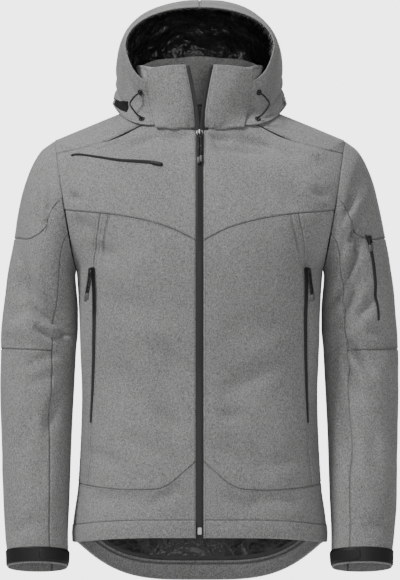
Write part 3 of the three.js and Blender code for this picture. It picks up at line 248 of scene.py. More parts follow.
sleeveCreases = {
    "right": table(
        "u0 w0 u1 w1 wide deep",
        (46, 252, 106, 232, 7, 3.6),
        (98, 262, 64, 274, 8, 4),
        (64, 274, 30, 250, 8, 3.6),
        (86, 248, 56, 254, 9, -1.4),
        (48, 306, 110, 330, 12, 1.5),
        (54, 340, 104, 362, 12, 1.2),
        (110, 240, 142, 262, 11, 2.2),
        (150, 190, 122, 236, 12, 2),
        (110, 26, 99, 74, 6, 3.4),
        (140, 164, 100, 226, 9, 2.6),
        (104, 150, 78, 232, 12, -1.6),
        (48, 368, 70, 440, 12, 2.2),
        (96, 396, 110, 470, 16, 1.4),
        (262, 300, 300, 330, 12, 3),
        (256, 226, 300, 232, 12, 2.8),
        (270, 380, 296, 450, 16, 2),
        (310, 500, 292, 580, 16, 2),
        (84, 590, 150, 604, 12, 1.6),
        (222, 596, 290, 586, 12, 1.8),
    ),
    "left": table(
        "u0 w0 u1 w1 wide deep",
        (96, 30, 118, 44, 8, 3),
        (88, 72, 108, 96, 8, 2.6),
        (70, 140, 104, 110, 9, 2.8),
        (62, 216, 82, 178, 8, 3.2),
        (84, 246, 120, 214, 11, 2.4),
        (66, 288, 104, 344, 7, 3.5),
        (54, 312, 84, 384, 8, 3.1),
        (130, 298, 168, 292, 10, 1.8),
        (96, 268, 140, 276, 12, 1.8),
        (50, 400, 66, 500, 13, 2.4),
        (100, 420, 112, 510, 16, 1.4),
        (258, 306, 298, 336, 12, 3),
        (254, 232, 298, 238, 12, 2.8),
        (272, 390, 300, 460, 16, 2),
        (86, 596, 152, 588, 12, 1.6),
        (226, 590, 286, 602, 12, 1.8),
    ),
}
creaseGain = {"body": 2.7, "back": 1.9, "sleeve": 3.4}
degreeLength = 1.15  # millimetres round the sleeve for one degree
collarFolds = table(
    "u0 w0 u1 w1 wide deep",
    (64, 92, 40, 62, 7, 3),
    (80, 96, 62, 70, 6, -2),
    (-62, 94, -42, 58, 7, 3),
    (-84, 98, -70, 72, 6, -2.2),
    (150, 98, 158, 78, 5, 2.4),
    (166, 98, 163, 80, 5, -1.6),
    (-150, 98, -156, 76, 5, 2.4),
    (-176, 96, -170, 40, 9, 2.2),
    (110, 96, 116, 40, 12, 2.4),
    (-116, 96, -108, 44, 12, 2.4),
    (160, 90, 150, 30, 16, 2),
    (-168, 92, -160, 34, 14, 2),
)
hoodFolds = table(
    "u0 w0 u1 w1 wide deep",
    (0.16, 120, 0.3, 20, 10, 2.6),
    (0.3, 210, 0.55, 150, 22, 4),
    (0.2, 250, 0.46, 262, 18, 4.5),
    (0.62, 300, 0.9, 268, 22, 4.5),
    (0.5, 60, 0.72, 96, 22, 2.2),
    (0.8, 210, 0.96, 176, 22, 2.6),
    (0.34, 330, 0.6, 322, 14, 4),
    (0.12, 300, 0.24, 330, 12, 3),
)
hoodLength = 300  # millimetres from the foot of a hood arch to its top


def foldDepth(folds, u, w, ends=0.0):
    depth = np.zeros_like(u)
    for u0, w0, u1, w1, wide, deep in zip(*folds.values()):
        reach = (u1 - u0) ** 2 + (w1 - w0) ** 2
        t = np.clip(((u - u0) * (u1 - u0) + (w - w0) * (w1 - w0)) / reach, 0, 1)
        away = np.hypot(u - u0 - t * (u1 - u0), w - w0 - t * (w1 - w0))
        fade = 1 - ends * np.abs(2 * t - 1) ** 2
        depth += deep * fade * np.exp(-((away / wide) ** 2))
    return depth


# Surfaces of the jacket, outer side, as points in millimetres
def bodyBase(facing, share, at):
    facing, share, at = alike(facing, share, at)
    front = facing < 0
    ring = {name: read(bodyRings, name, at) for name in bodyRings}
    power, deep = ring["power"], np.where(front, ring["front"], ring["back"])
    inset = np.where(front, cut["zipHalf"], 0)
    up = np.clip((at - cut["armpit"]) / (cut["shoulder"] - cut["armpit"]), 0, 1)
    rise = (1 - np.cos(math.pi * up)) / 2
    opening = np.where(front, cut["armholeFront"], cut["armholeBack"]) * np.sin(math.pi * up)
    left = 1 - (opening / deep) ** power
    onHole = (at > cut["armpit"]) & (at < cut["shoulder"])
    above = at >= cut["shoulder"]
    t = (at - cut["shoulder"]) / (cut["neck"] - cut["shoulder"])
    hole, ridge, neck = 5, 6, 7  # rows of the table
    for name in ("half", "zSide"):
        rows = bodyRings[name]
        ring[name] = np.where(onHole, mix(rows[hole], rows[ridge], rise), ring[name])
        ring[name] = np.where(above, mix(rows[ridge], rows[neck], t), ring[name])
    half = ring["half"]
    reach = np.where(onHole, inset + (half - inset) / left ** (1 / power), half)
    end = np.where(onHole, np.arcsin(np.sqrt(left)), math.pi / 2)
    turn = share * end
    zCentre = np.where(front, ring["zFront"], ring["zBack"])
    lift = (np.sin(turn) / np.sin(end)) ** ring["swoop"]
    x = inset + (reach - inset) * np.sin(turn) ** (2 / power)
    y = facing * deep * np.clip(np.cos(turn), 0, 1) ** (2 / power)
    return np.stack([x, y, mix(zCentre, ring["zSide"], lift)], -1)


def sleeveBase(turn, at):
    angle = np.radians(turn)
    out = (1 - np.cos(angle)) / 2
    ring = {name: read(sleeveRings, name, at) for name in sleeveRings}
    across = -np.sin(angle) * np.where(np.sin(angle) > 0, ring["front"], ring["back"])
    x = mix(ring["xIn"], ring["xOut"], out)
    z = mix(ring["zIn"], ring["zOut"], out) - ring["drop"] * across
    return np.stack([x, ring["yMid"] + across, z], -1)


def collarBase(facing, share, at):
    facing, share, at = alike(facing, share, at)
    front = facing < 0
    ring = {name: read(collarRings, name, at) for name in collarRings}
    inset = np.where(front, ring["open"], 0)
    turn = share * math.pi / 2
    x = inset + (ring["half"] - inset) * np.sin(turn)
    y = facing * np.where(front, ring["front"], ring["back"]) * np.cos(turn)
    z = mix(np.where(front, ring["zFront"], ring["zBack"]), ring["zSide"], np.sin(turn) ** 2)
    return np.stack([x, y, z], -1)


def hoodBase(share, at):
    arch = {name: read(hoodArches, name, at) for name in hoodArches}
    t = np.clip(share / cut["hipShare"], 0, 1)

    def bend(first, middle, last):
        return (1 - t) ** 2 * arch[first] + 2 * t * (1 - t) * arch[middle] + t * t * arch[last]

    low = np.stack(
        [bend("xFoot", "xBend", "half"), bend("yFoot", "yBend", "yHip"), bend("zFoot", "zBend", "zHip")], -1
    )
    turn = np.clip((share - cut["hipShare"]) / (1 - cut["hipShare"]), 0, 1) * math.pi / 2
    power = 2 / cut["hoodPower"]
    x = arch["half"] * np.clip(np.cos(turn), 0, 1) ** power
    y = mix(arch["yHip"], arch["yTop"], np.sin(turn))
    z = mix(arch["zHip"], arch["zTop"], np.sin(turn) ** power)
    high = np.stack([x, y, z], -1)
    return np.where((share < cut["hipShare"])[..., None], low, high)


def unit(vectors):
    return vectors / np.maximum(np.linalg.norm(vectors, axis=-1, keepdims=True), 1e-9)


# Steps along and up each surface, over which the way it faces is felt
nearby = {"body": (0.004, 3.2), "sleeve": (1.4, 2.6), "collar": (0.004, 0.4), "hood": (0.004, 1.4)}


def wayOut(surface, u, w, steps, lows, highs, flip):
    u0, u1 = (np.clip(u + way * steps[0], lows[0], highs[0]) for way in (-1, 1))
    w0, w1 = (np.clip(w + way * steps[1], lows[1], highs[1]) for way in (-1, 1))
    alongU = surface(u1, w) - surface(u0, w)
    alongW = surface(u, w1) - surface(u, w0)
    return unit(np.cross(alongU, alongW)) * np.asarray(flip, float)[..., None]


# Slack in the cloth: a slow, uneven swell that neighbouring pieces share
slack = {"broad": 85, "broadDeep": 1.7, "close": 30, "closeDeep": 0.5, "apart": (3.1, 7.7, 1.3)}


def swell(points, side, amount=1.0):
    found = np.empty(points.shape[:-1])
    for index in np.ndindex(found.shape):
        x, y, z = points[index]
        place = Vector((side * x if np.ndim(side) == 0 else side[index] * x, y, z))
        broad = noise.noise(place / slack["broad"] + Vector(slack["apart"]))
        close = noise.noise(place / slack["close"])
        found[index] = slack["broadDeep"] * broad + slack["closeDeep"] * close
    return found * amount


def mirrored(points, side):
    turned = points.copy()
    turned[..., 0] *= side
    return turned


def moved(base, out, move, side):
    return mirrored(base + out * np.asarray(move)[..., None], side), mirrored(out, side)


def bodySpot(side, facing, share, at):
    facing, share, at, side = alike(facing, share, at, side)
    base = bodyBase(facing, share, at)
    lows, highs = (0, cut["hem"]), (1, cut["neck"])
    out = wayOut(lambda s, a: bodyBase(facing, s, a), share, at, nearby["body"], lows, highs, -facing)
    x, z = side * base[..., 0], base[..., 2]
    front = foldDepth(frontFolds, x, z) + creaseGain["body"] * foldDepth(frontCreases, x, z, 0.7)
    press = np.where(facing < 0, front, creaseGain["back"] * foldDepth(backCreases, x, z, 0.5))
    edge = np.clip((1 - share) * 6, 0, 1) * np.where(facing < 0, np.clip(share * 12, 0, 1), 1)
    move = (swell(base, side) - press) * edge
    return moved(base, out, move, side)


def stretched(folds, length):
    return {**folds, "u0": folds["u0"] * length, "u1": folds["u1"] * length}


def sleeveSpot(side, turn, at, outset=0.0):
    turn, at = alike(turn, at)
    base = sleeveBase(turn, at)
    lows, highs = (-400, 0), (400, cut["cuff"])
    out = wayOut(sleeveBase, turn, at, nearby["sleeve"], lows, highs, -np.ones_like(turn))
    name = "left" if side > 0 else "right"
    around = (turn % 360) * degreeLength
    press = foldDepth(stretched(sleeveFolds[name], degreeLength), around, at)
    creases = foldDepth(stretched(sleeveCreases[name], degreeLength), around, at, 0.7)
    press = press + creaseGain["sleeve"] * creases
    calm = np.clip(at / 24, 0, 1) * np.clip((cut["strapFrom"] - at) / 40, 0, 1)
    loose = mix(0.15, 1, (1 - np.cos(np.radians(turn))) / 2)
    move = outset + (swell(base, side) * loose - press) * calm
    return moved(base, out, move, side)


def collarSpot(side, facing, share, at, outset=0.0):
    facing, share, at, side = alike(facing, share, at, side)
    base = collarBase(facing, share, at)
    lows, highs = (0, 0), (1, cut["collarTop"])
    out = wayOut(lambda s, a: collarBase(facing, s, a), share, at, nearby["collar"], lows, highs, -facing)
    return moved(base, out, outset, side)


def hoodOut(share, at):
    # Along the crown, where the two sides meet, no way out leans to a side
    lows, highs = (0, 0), (1, cut["hoodEdge"])
    out = wayOut(hoodBase, share, at, nearby["hood"], lows, highs, -np.ones_like(share))
    return unit(out * (1 - np.clip((share - 0.96) * 25, 0, 1)[..., None] * np.array([1, 0, 0])))


def hoodSpot(side, share, at, outset=0.0, folded=1.0):
    share, at = alike(share, at)
    base, out = hoodBase(share, at), hoodOut(share, at)
    press = foldDepth(stretched(hoodFolds, hoodLength), share * hoodLength, at, 0.6)
    calm = np.clip((1 - share) * 9, 0, 1) * np.clip(at / 26, 0, 1) * np.clip(share * 14, 0, 1)
    move = outset + folded * (swell(base, side, 1.3) - press) * calm
    return moved(base, out, move, side)


def wayRound(a):
    # Once round from the front: the side, the facing and the share of each quarter
    quarter = np.clip((a * 4).astype(int), 0, 3)
    t = a * 4 - quarter
    share = np.where(quarter % 2 == 0, t, 1 - t)
    return np.array([1, 1, -1, -1])[quarter], np.array([-1, 1, 1, -1])[quarter], share


# Seams seen from the front or back cross each column of the body at some height
def crossing(facing, shareAt, seam, low, high):
    below, above = np.full(shareAt.count, float(low)), np.full(shareAt.count, float(high))
    for _ in range(36):
        middle = (below + above) / 2
        p = bodyBase(facing, shareAt(middle), middle)
        under = p[:, 2] < read(seam, "z", p[:, 0], "x")
        below, above = np.where(under, middle, below), np.where(under, above, middle)
    return (below + above) / 2


class Columns:
    # The columns of the body's panels, each a share of the way round at any height
    def __init__(self, shareOf, places):
        self.shareOf, self.places, self.count = shareOf, places, len(places)

    def __call__(self, at):
        return self.shareOf(self.places, at)


def armholeLevel(degrees):
    return mix(cut["armpit"], cut["shoulder"], degrees / 180)


def pocketShare(at):
    top = armholeLevel(86)
    low, high = np.full(np.shape(at), 0.2), np.full(np.shape(at), 0.98)
    for _ in range(28):
        middle = (low + high) / 2
        p = bodyBase(-1, middle, np.minimum(at, top))
        inside = p[..., 0] < read(pocketSeam, "x", p[..., 2], "z")
        low, high = np.where(inside, middle, low), np.where(inside, high, middle)
    return mix(low, 0.5, np.clip((at - top) / (cut["shoulder"] - top), 0, 1))


levels = np.linspace(0, cut["neck"], 400)
pocketShares = pocketShare(levels)
frontMain, frontColumns = 7, 11
backCorner, backHalf = 5, 9


def frontShare(column, at):
    pocket = np.interp(at, levels, pocketShares)
    beyond = mix(pocket, 1, (column - frontMain) / (frontColumns - frontMain))
    return np.where(column <= frontMain, pocket * column / frontMain, beyond)


def backShare(column, at=None):
    beyond = mix(0.5, 1, (column - backCorner) / (backHalf - backCorner))
    return np.where(column <= backCorner, 0.5 * column / backCorner, beyond)


frontPlaces = np.linspace(0, frontColumns, 111)
backPlaces = np.linspace(0, backHalf, 91)
frontSet, backSet = Columns(frontShare, frontPlaces), Columns(backShare, backPlaces)
armholeStops = {"yoke": 84, "seam": 140, "backYoke": 84, "backSeam": 144}


def seamCut(facing, columns, seam, low, high, atSide=None):
    found = crossing(facing, columns, seam, low, high)
    if atSide is not None:
        near = smooth((columns.places - columns.places[-1] + 1.5) / 1.5)
        found = found + near * (armholeLevel(atSide) - found[-1])
    return lambda column: np.interp(column, columns.places, found)


waist = 248
lowerCut = seamCut(-1, frontSet, lowerSeam, cut["band"], waist)
yokeCut = seamCut(-1, frontSet, yokeSeam, waist, cut["shoulder"] - 4, armholeStops["yoke"])
topSeam = seamCut(-1, frontSet, shoulderSeam, cut["armpit"] + 60, cut["neck"], armholeStops["seam"])
backYokeCut = seamCut(1, backSet, backYokeSeam, waist, cut["shoulder"] - 4, armholeStops["backYoke"])
backTopSeam = seamCut(
    1, backSet, backShoulderSeam, cut["armpit"] + 60, cut["neck"], armholeStops["backSeam"]
)


def frontTop(column):
    return np.where(column <= frontMain, cut["neck"], topSeam(column))


def backTop(column):
    return np.where(column <= backCorner, cut["neck"], backTopSeam(column))


def capEnd(turn):
    inside = (turn >= capEdge["turn"][0]) & (turn <= capEdge["turn"][-1])
    return np.where(inside, read(capEdge, "at", turn, "turn"), 0)


# Where a place seen from the front lies on a surface
def placeOf(surface, u, w, x, z, steps):
    for _ in range(40):
        p = surface(u, w)
        alongU = (surface(u + steps[0], w) - p) / steps[0]
        alongW = (surface(u, w + steps[1]) - p) / steps[1]
        area = alongU[..., 0] * alongW[..., 2] - alongW[..., 0] * alongU[..., 2]
        dx, dz = x - p[..., 0], z - p[..., 2]
        u = u + 0.7 * (dx * alongW[..., 2] - dz * alongW[..., 0]) / area
        w = w + 0.7 * (dz * alongU[..., 0] - dx * alongU[..., 2]) / area
    return u, w


def frontPlace(x, z):
    x, z = alike(x, z)
    start = np.clip(x / 230, 0.02, 0.8), np.clip(cut["neck"] + 1.15 * (z + 10), 40, 790)
    return placeOf(lambda s, a: bodyBase(-1, s, a), *start, x, z, (1e-3, 0.5))


def onFront(side, x, z):
    return bodySpot(side, -1, *frontPlace(x, z))


def onSleeve(side, x, z):
    x, z = np.asarray(x, float), np.asarray(z, float)
    return sleeveSpot(side, *placeOf(sleeveBase, x * 0 + 120, -z - 45, x, z, (0.5, 0.5)))


# Materials: a socket that can be reckoned with, and one method that makes every node
class Signal:
    def __init__(self, finish, socket):
        self.finish, self.socket = finish, socket

    def maths(self, operation, a, b):
        return self.finish.node("ShaderNodeMath", {"operation": operation}, {0: a, 1: b})

    def __add__(self, other):
        return self.maths("ADD", self, other)

    def __sub__(self, other):
        return self.maths("SUBTRACT", self, other)

    def __rsub__(self, other):
        return self.maths("SUBTRACT", other, self)

    def __mul__(self, other):
        return self.maths("MULTIPLY", self, other)

    __radd__, __rmul__ = __add__, __mul__

    def __gt__(self, other):
        return self.maths("GREATER_THAN", self, other)


class Finish:
    def __init__(self, name, world=None):
        self.material = world or bpy.data.materials.new(name)
        self.material.use_nodes = True
        self.tree = self.material.node_tree
        self.shader = self.tree.nodes["Background" if world else "Principled BSDF"]

    def node(self, kind, settings=None, inputs=None, output=0):
        made = self.tree.nodes.new(kind)
        settings = dict(settings or {})
        stops = settings.pop("stops", None)
        for name, value in settings.items():
            setattr(made, name, value)
        if stops:
            ramp = made.color_ramp.elements
            while len(ramp) < len(stops):
                ramp.new(0.5)
            for element, (place, level) in zip(ramp, stops):
                element.position = place
                element.color = (*level, 1) if isinstance(level, tuple) else (level, level, level, 1)
        self.join(made, inputs or {})
        return Signal(self, made.outputs[output])

    def join(self, made, inputs):
        for name, value in inputs.items():
            socket = made.inputs[name]
            if isinstance(value, Signal):
                self.tree.links.new(value.socket, socket)
            else:
                socket.default_value = value

    def noise(self, where, scale, detail=2.0, roughness=0.5):
        values = {"Vector": where, "Scale": scale, "Detail": detail, "Roughness": roughness}
        return self.node("ShaderNodeTexNoise", {}, values, "Fac")

    def place(self, stretch=(1, 1, 1), source="Object"):
        where = self.node("ShaderNodeTexCoord", {}, {}, source)
        return self.node("ShaderNodeMapping", {}, {"Vector": where, "Scale": stretch})

    def ramp(self, level, *stops):
        return self.node("ShaderNodeValToRGB", {"stops": stops}, {"Fac": level}, "Color")

    def blend(self, amount, a, b):
        a, b = ((*v, 1) if isinstance(v, tuple) else v for v in (a, b))
        return self.node("ShaderNodeMix", {"data_type": "RGBA"}, {"Factor": amount, 6: a, 7: b}, 2)

    def bands(self, scale, distortion):
        values = {"Vector": self.place(source="UV"), "Scale": scale, "Distortion": distortion, "Detail": 1.0}
        return self.node("ShaderNodeTexWave", {"wave_type": "BANDS", "bands_direction": "Y"}, values, "Fac")

    def bump(self, height, strength, distance):
        values = {"Height": height, "Strength": strength, "Distance": distance}
        return self.node("ShaderNodeBump", {}, values, "Normal")

    def finish(self, **inputs):
        self.join(self.shader, {name.replace("_", " "): value for name, value in inputs.items()})
        return self.material


melangeLook = {
    "light": (0.36, 0.36, 0.355),
    "middle": (0.232, 0.232, 0.228),
    "dark": (0.118, 0.118, 0.116),
    # the next two: the dark colour and its strength for the painted shade along seams and pressed lines
    "seam": (0.02, 0.02, 0.02),
    "seamShadeBlend": 0.42,
    "fleck": 560,
    "fibre": 1150,
}


# shade scales the cloth's tones; above 1 it paints light into a lighter copy of the same cloth
def melangeFinish(name, look, shade=1.0):
    f = Finish(name)
    where = f.place((1, 1, 0.72))
    flecks = f.noise(where, look["fleck"], 2.5, 0.62)
    fibres = f.noise(where, look["fibre"], 2, 0.6)
    clouds = f.noise(where, 14, 2, 0.5)
    blend = flecks * 0.62 + fibres * 0.3 + clouds * 0.08
    tones = ((0.36, look["dark"]), (0.5, look["middle"]), (0.64, look["light"]))
    cloth = f.ramp(blend, *((at, tuple(channel * shade for channel in tone)) for at, tone in tones))
    # painted shade: the seamShade attribute darkens the cloth along seams and pressed lines, where shadow
    # falls in their grooves
    line = f.node("ShaderNodeAttribute", {"attribute_name": "seamShade"}, {}, "Fac")
    colour = f.blend(line * look["seamShadeBlend"], cloth, look["seam"])
    normal = f.bump(flecks * 0.45 + fibres * 0.55, 0.55, 0.0006)
    return f.finish(
        Base_Color=colour, Roughness=0.9, Normal=normal, Sheen_Weight=0.12, Specular_IOR_Level=0.25
    )


def liningFinish(name, dark, light, shine, crumple):
    f = Finish(name)
    where = f.place()
    wave = f.noise(where, 34, 3, 0.55)
    weave = f.noise(f.place((1, 1, 6)), 700, 1, 0.5)
    colour = f.ramp(f.noise(where, 30, 2), (0.3, dark), (0.7, light))
    normal = f.bump(wave + weave * 0.01, 1.0, crumple)
    rough = f.noise(where, 60, 2) * 0.16 + 0.26
    return f.finish(Base_Color=colour, Roughness=rough, Normal=normal, Specular_IOR_Level=shine)


def tapeFinish(name, level=0.03):
    f = Finish(name)
    ribs, fibres = f.bands(420, 0.6), f.noise(f.place(), 1400, 2)
    colour = f.ramp(ribs * 0.4 + fibres * 0.6, (0.25, level * 0.75), (0.75, level * 1.35))
    normal = f.bump(ribs * 0.5 + fibres * 0.5, 0.4, 0.0003)
    return f.finish(Base_Color=colour, Roughness=0.66, Normal=normal, Specular_IOR_Level=0.35)


def webbingFinish(name, level, rough, scale=300):
    f = Finish(name)
    rows, grain = f.bands(scale, 0.3), f.noise(f.place(), 900, 2)
    colour = f.ramp(grain, (0.3, level * 0.8), (0.7, level * 1.3))
    normal = f.bump(rows * 0.6 + grain * 0.4, 0.35, 0.0004)
    return f.finish(Base_Color=colour, Roughness=rough, Normal=normal, Specular_IOR_Level=0.4)


def braidFinish(name, level, fleck, scale=620, share=0.7):
    f = Finish(name)
    values = {"Vector": f.place(), "Scale": scale, "Randomness": 0.6}
    cells = f.node("ShaderNodeTexVoronoi", {"feature": "F1"}, values, "Distance")
    pick = f.noise(f.place(), scale * 0.8, 1)
    colour = f.ramp(pick, (share - 0.12, level), (share, fleck))
    normal = f.bump(1 - cells, 0.8, 0.0006)
    return f.finish(Base_Color=colour, Roughness=0.72, Normal=normal, Specular_IOR_Level=0.35)


def metalFinish(name, level=0.42, rough=0.32):
    f = Finish(name)
    streak = f.noise(f.place((1, 1, 8)), 500, 3)
    colour = f.ramp(streak, (0.3, level * 0.8), (0.7, level * 1.15))
    return f.finish(Base_Color=colour, Metallic=0.95, Roughness=streak * 0.2 + rough)


def plasticFinish(name, level=0.014):
    f = Finish(name)
    grain = f.noise(f.place(), 1200, 2)
    colour = f.ramp(grain, (0.3, level * 0.85), (0.7, level * 1.2))
    return f.finish(Base_Color=colour, Roughness=grain * 0.2 + 0.38, Normal=f.bump(grain, 0.2, 0.0002))


finishes = {
    "shell": melangeFinish("greyMelange", melangeLook),
    # painted light: the collar's inner facing is the shell cloth made 1.6 times lighter, for the light that
    # falls inside the collar
    "collarFacingPaintedLight": melangeFinish("collarFacingPaintedLight", melangeLook, 1.6),
    "lining": liningFinish("blackTaffeta", 0.006, 0.014, 0.5, 0.006),
    # painted light: the hood's lining is the body's black taffeta made about three times lighter, for the
    # light that falls into the hood
    "hoodLiningPaintedLight": liningFinish("hoodTaffetaPaintedLight", 0.018, 0.05, 1.0, 0.017),
    "tape": tapeFinish("zipTape"),
    "pocketTape": tapeFinish("pocketZipTape", 0.022),
    "strap": webbingFinish("blackWebbing", 0.0085, 0.5),
    "band": webbingFinish("hoodBand", 0.004, 0.9, 500),
    "pull": braidFinish("pullBraid", 0.008, 0.09),
    "cord": braidFinish("cordBraid", 0.008, 0.05, 900, 0.62),
    "metal": metalFinish("sliderMetal"),
    "darkMetal": metalFinish("darkMetal", 0.07, 0.38),
    "teeth": plasticFinish("zipTeeth", 0.02),
    "eyelet": plasticFinish("eyeletBlack", 0.01),
    "thread": plasticFinish("thread", 0.11),
    "pullEnd": plasticFinish("pullEnds", 0.1),
}
print("materials made")


# Cloth: a grid laid over a surface, closer together at its edges, with its wall solidified inwards
edgeSteps = (0, 0.5, 1.1, 1.9, 3.0, 4.6, 7.0)
lineSteps = (-2.6, -1.3, 0, 1.3, 2.6)


def stops(length, step=4.5, lines=()):
    fine = list(edgeSteps) + [length - near for near in edgeSteps]
    fine += [line + near for line in lines for near in lineSteps]
    fine = [place for place in fine if 0 <= place <= length]
    even = np.arange(step, length, step)
    even = [place for place in even if min(abs(place - near) for near in fine) > 0.6 * step]
    return np.array(sorted({round(place, 3) for place in fine + even})) / length


grooves = {"seam": (1.4, 1.2), "soft": (0.8, 1.6), "free": (0.7, 0.7)}  # depth and width
seam = {
    "shadeWide": 0.8,
    "pucker": 0.34,
    "puckerReach": 9,
    "puckerLength": 12,
    "stitchLength": 2.7,
    "stitchGap": 0.9,
    "threadHalf": 0.32,
    "top": 2.6,
    "front": 3,
}
stitches = []


def arcs(points, axis):
    steps = np.linalg.norm(np.diff(points, axis=axis), axis=-1)
    start = np.zeros_like(np.take(steps, [0], axis=axis))
    return np.cumsum(np.concatenate([start, steps], axis=axis), axis=axis)


def between(place, length, rows):
    return np.stack([np.interp(place, length, rows[:, k]) for k in range(3)], -1)


def edgeWork(points, outs, edges, lines):
    # edges: the kind of work at each edge; lines: pressed lines at a distance from an edge
    u, w = arcs(points, 0), arcs(points, 1)
    distances = {"left": u, "right": u[-1:] - u, "bottom": w, "top": w[:, -1:] - w}
    # shade: painted shade, a darkening of the colour along seams and pressed lines where shadow falls in
    # their grooves
    move, shade = np.zeros(points.shape[:2]), np.zeros(points.shape[:2])
    for name, kind in edges.items():
        d, s = distances[name], w if name in ("left", "right") else u
        if kind == "seam":
            shade += np.exp(-((d / seam["shadeWide"]) ** 2))
            beat = np.sin(s * 2 * math.pi / seam["puckerLength"] + 2.2 * np.sin(s / 31))
            move += seam["pucker"] * beat * np.exp(-d / seam["puckerReach"]) * smooth(d / 2)
        elif kind == "soft":
            shade += 0.35 * np.exp(-((d / seam["shadeWide"]) ** 2))
        if kind in grooves:
            deep, wide = grooves[kind]
            move -= deep * np.exp(-((d / wide) ** 2))
    for name, distance, deep, wide, start, end in lines:
        d, s = distances[name], w if name in ("left", "right") else u
        inside = smooth((s - start) / 6) * smooth((end - s) / 6)
        press = inside * np.exp(-(((d - distance) / wide) ** 2))
        move -= deep * press
        shade += press
    return points + outs * move[..., None], np.clip(shade, 0, 1)


def sewAlong(path, outs):
    # Short raised stitches along a line of points
    length = arcs(path[:, None], 0)[:, 0]
    pitch = seam["stitchLength"] + seam["stitchGap"]
    for start in np.arange(pitch / 2, length[-1] - seam["stitchLength"], pitch):
        at = start + seam["stitchLength"] * np.array([0, 0.2, 0.8, 1])
        raised = np.array([-0.25, 0.12, 0.12, -0.25])[:, None]
        stitches.append(between(at, length, path) + between(at, length, outs) * raised)


def sewEdge(points, outs, name, distance, start=0.0, end=1e9):
    # A row of stitches that keeps its distance from one edge of a grid
    if name in ("left", "right"):
        points, outs = points.transpose(1, 0, 2), outs.transpose(1, 0, 2)
    if name in ("right", "top"):
        points, outs = points[:, ::-1], outs[:, ::-1]
    d = arcs(points, 1)
    rows = [row for row in range(len(points)) if d[row, -1] >= distance * 1.6]
    path = np.array([between(distance, d[row], points[row]) for row in rows])
    ways = np.array([between(distance, d[row], outs[row]) for row in rows])
    length = arcs(path[:, None], 0)[:, 0]
    kept = (length >= start) & (length <= end)
    if kept.sum() > 1:
        sewAlong(path[kept], ways[kept])


def sceneObject(name, data):
    made = bpy.data.objects.new(name, data)
    bpy.context.scene.collection.objects.link(made)
    return made


def meshObject(name, bm, finish, body="jacket", smoothed=True):
    mesh = bpy.data.meshes.new(name)
    bm.to_mesh(mesh)
    bm.free()
    if smoothed:
        mesh.polygons.foreach_set("use_smooth", [True] * len(mesh.polygons))
    made = sceneObject(name, mesh)
    mesh.materials.append(finishes[finish])
    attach(made, body)
    return made


def layCloth(node, across, up, place, edges="", lines=(), sewn=(), extra=None, name=None, **look):
    # edges: the work at the left, right, top and bottom
    look = {"thick": cut["clothThick"], "finish": "shell", "slot": "shell", **look}
    a, b = np.meshgrid(across, up, indexing="ij")
    points, outs = place(a, b)
    if extra is not None:
        points = points + outs * extra(a, b, points)[..., None]
    edges = dict(zip(("left", "right", "top", "bottom"), edges.split()))
    points, shade = edgeWork(points, outs, edges, lines)
    for edge in sewn:
        sewEdge(points, outs, *edge)
    bm = bmesh.new()
    uvLayer = bm.loops.layers.uv.new("UVMap")
    # seamShade carries the painted shade along seams and pressed lines
    shadeLayer = bm.verts.layers.float.new("seamShade")
    bmesh.ops.create_grid(bm, x_segments=len(across) - 1, y_segments=len(up) - 1, size=0.5)
    bm.verts.ensure_lookup_table()
    column = [round((v.co.x + 0.5) * (len(across) - 1)) for v in bm.verts]
    row = [round((v.co.y + 0.5) * (len(up) - 1)) for v in bm.verts]
    u, w = arcs(points, 0) * mm, arcs(points, 1) * mm
    for v, i, j in zip(bm.verts, column, row):
        v.co = points[i, j] * mm
        v[shadeLayer] = shade[i, j]
    for face in bm.faces:
        for loop in face.loops:
            i, j = column[loop.vert.index], row[loop.vert.index]
            loop[uvLayer].uv = (u[i, j], w[i, j])
    i, j = len(across) // 2, len(up) // 2
    bm.normal_update()
    near = min(bm.faces, key=lambda f: (f.calc_center_median() - Vector(points[i, j] * mm)).length)
    if near.normal.dot(Vector(outs[i, j])) < 0:
        bmesh.ops.reverse_faces(bm, faces=bm.faces)
    bmesh.ops.remove_doubles(bm, verts=bm.verts, dist=0.02 * mm)
    piece = meshObject(name or f"cloth_{node}", bm, look["finish"])
    wall = piece.modifiers.new("wall", "SOLIDIFY")
    wall.thickness, wall.offset, wall.use_even_offset = look["thick"] * mm, -1, False
    if node in frame["nodes"]:
        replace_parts(piece, node)


# Pieces of the body
sides = (("right", -1), ("left", 1))
pocketLine = {"inward": 15, "reach": (345, 440), "deep": 0.8, "wide": 0.9}
allSeams = "seam seam seam seam"
bandProud = 1.8
tucked = 1.2  # how far the panels above the hem band reach into it


def frontPiece(side, first, last, low, high, corner=None):
    def place(a, b):
        column = mix(first, last, a)
        at = rowAt(column, low(column), high(column), b, corner)
        return bodySpot(side, -1, frontShare(column, at), at)

    return place


def rowAt(column, low, high, b, corner):
    # Rows under and over the shoulder line keep apart, as the body's columns turn inwards there
    if corner is None:
        return mix(low, high, b)
    first, seamLine = corner
    step = (cut["neck"] - seamLine(first)) * (1 - smooth(column - first))
    eased = np.where(column <= first, cut["neck"], high + step)
    knee = np.minimum(cut["shoulder"], high)
    share = np.clip((knee - low) / (eased - low), 0.02, 1)
    over = np.clip((b - share) / np.maximum(1 - share, 1e-6), 0, 1)
    return np.where(b <= share, mix(low, knee, b / share), mix(knee, high, over))


def backPiece(low, high, corner=None):
    def place(a, b):
        column = mix(-backHalf, backHalf, a)
        around = np.abs(column)
        at = rowAt(around, low(around), high(around), b, corner)
        return bodySpot(np.where(column < 0, -1, 1), 1, backShare(around), at)

    return place


def level(value):
    return lambda column: np.full(np.shape(column), float(value))


def bandSwell(a, b, points):
    return bandProud * np.sin(math.pi * np.clip(b, 0.1, 0.9)) ** 0.5


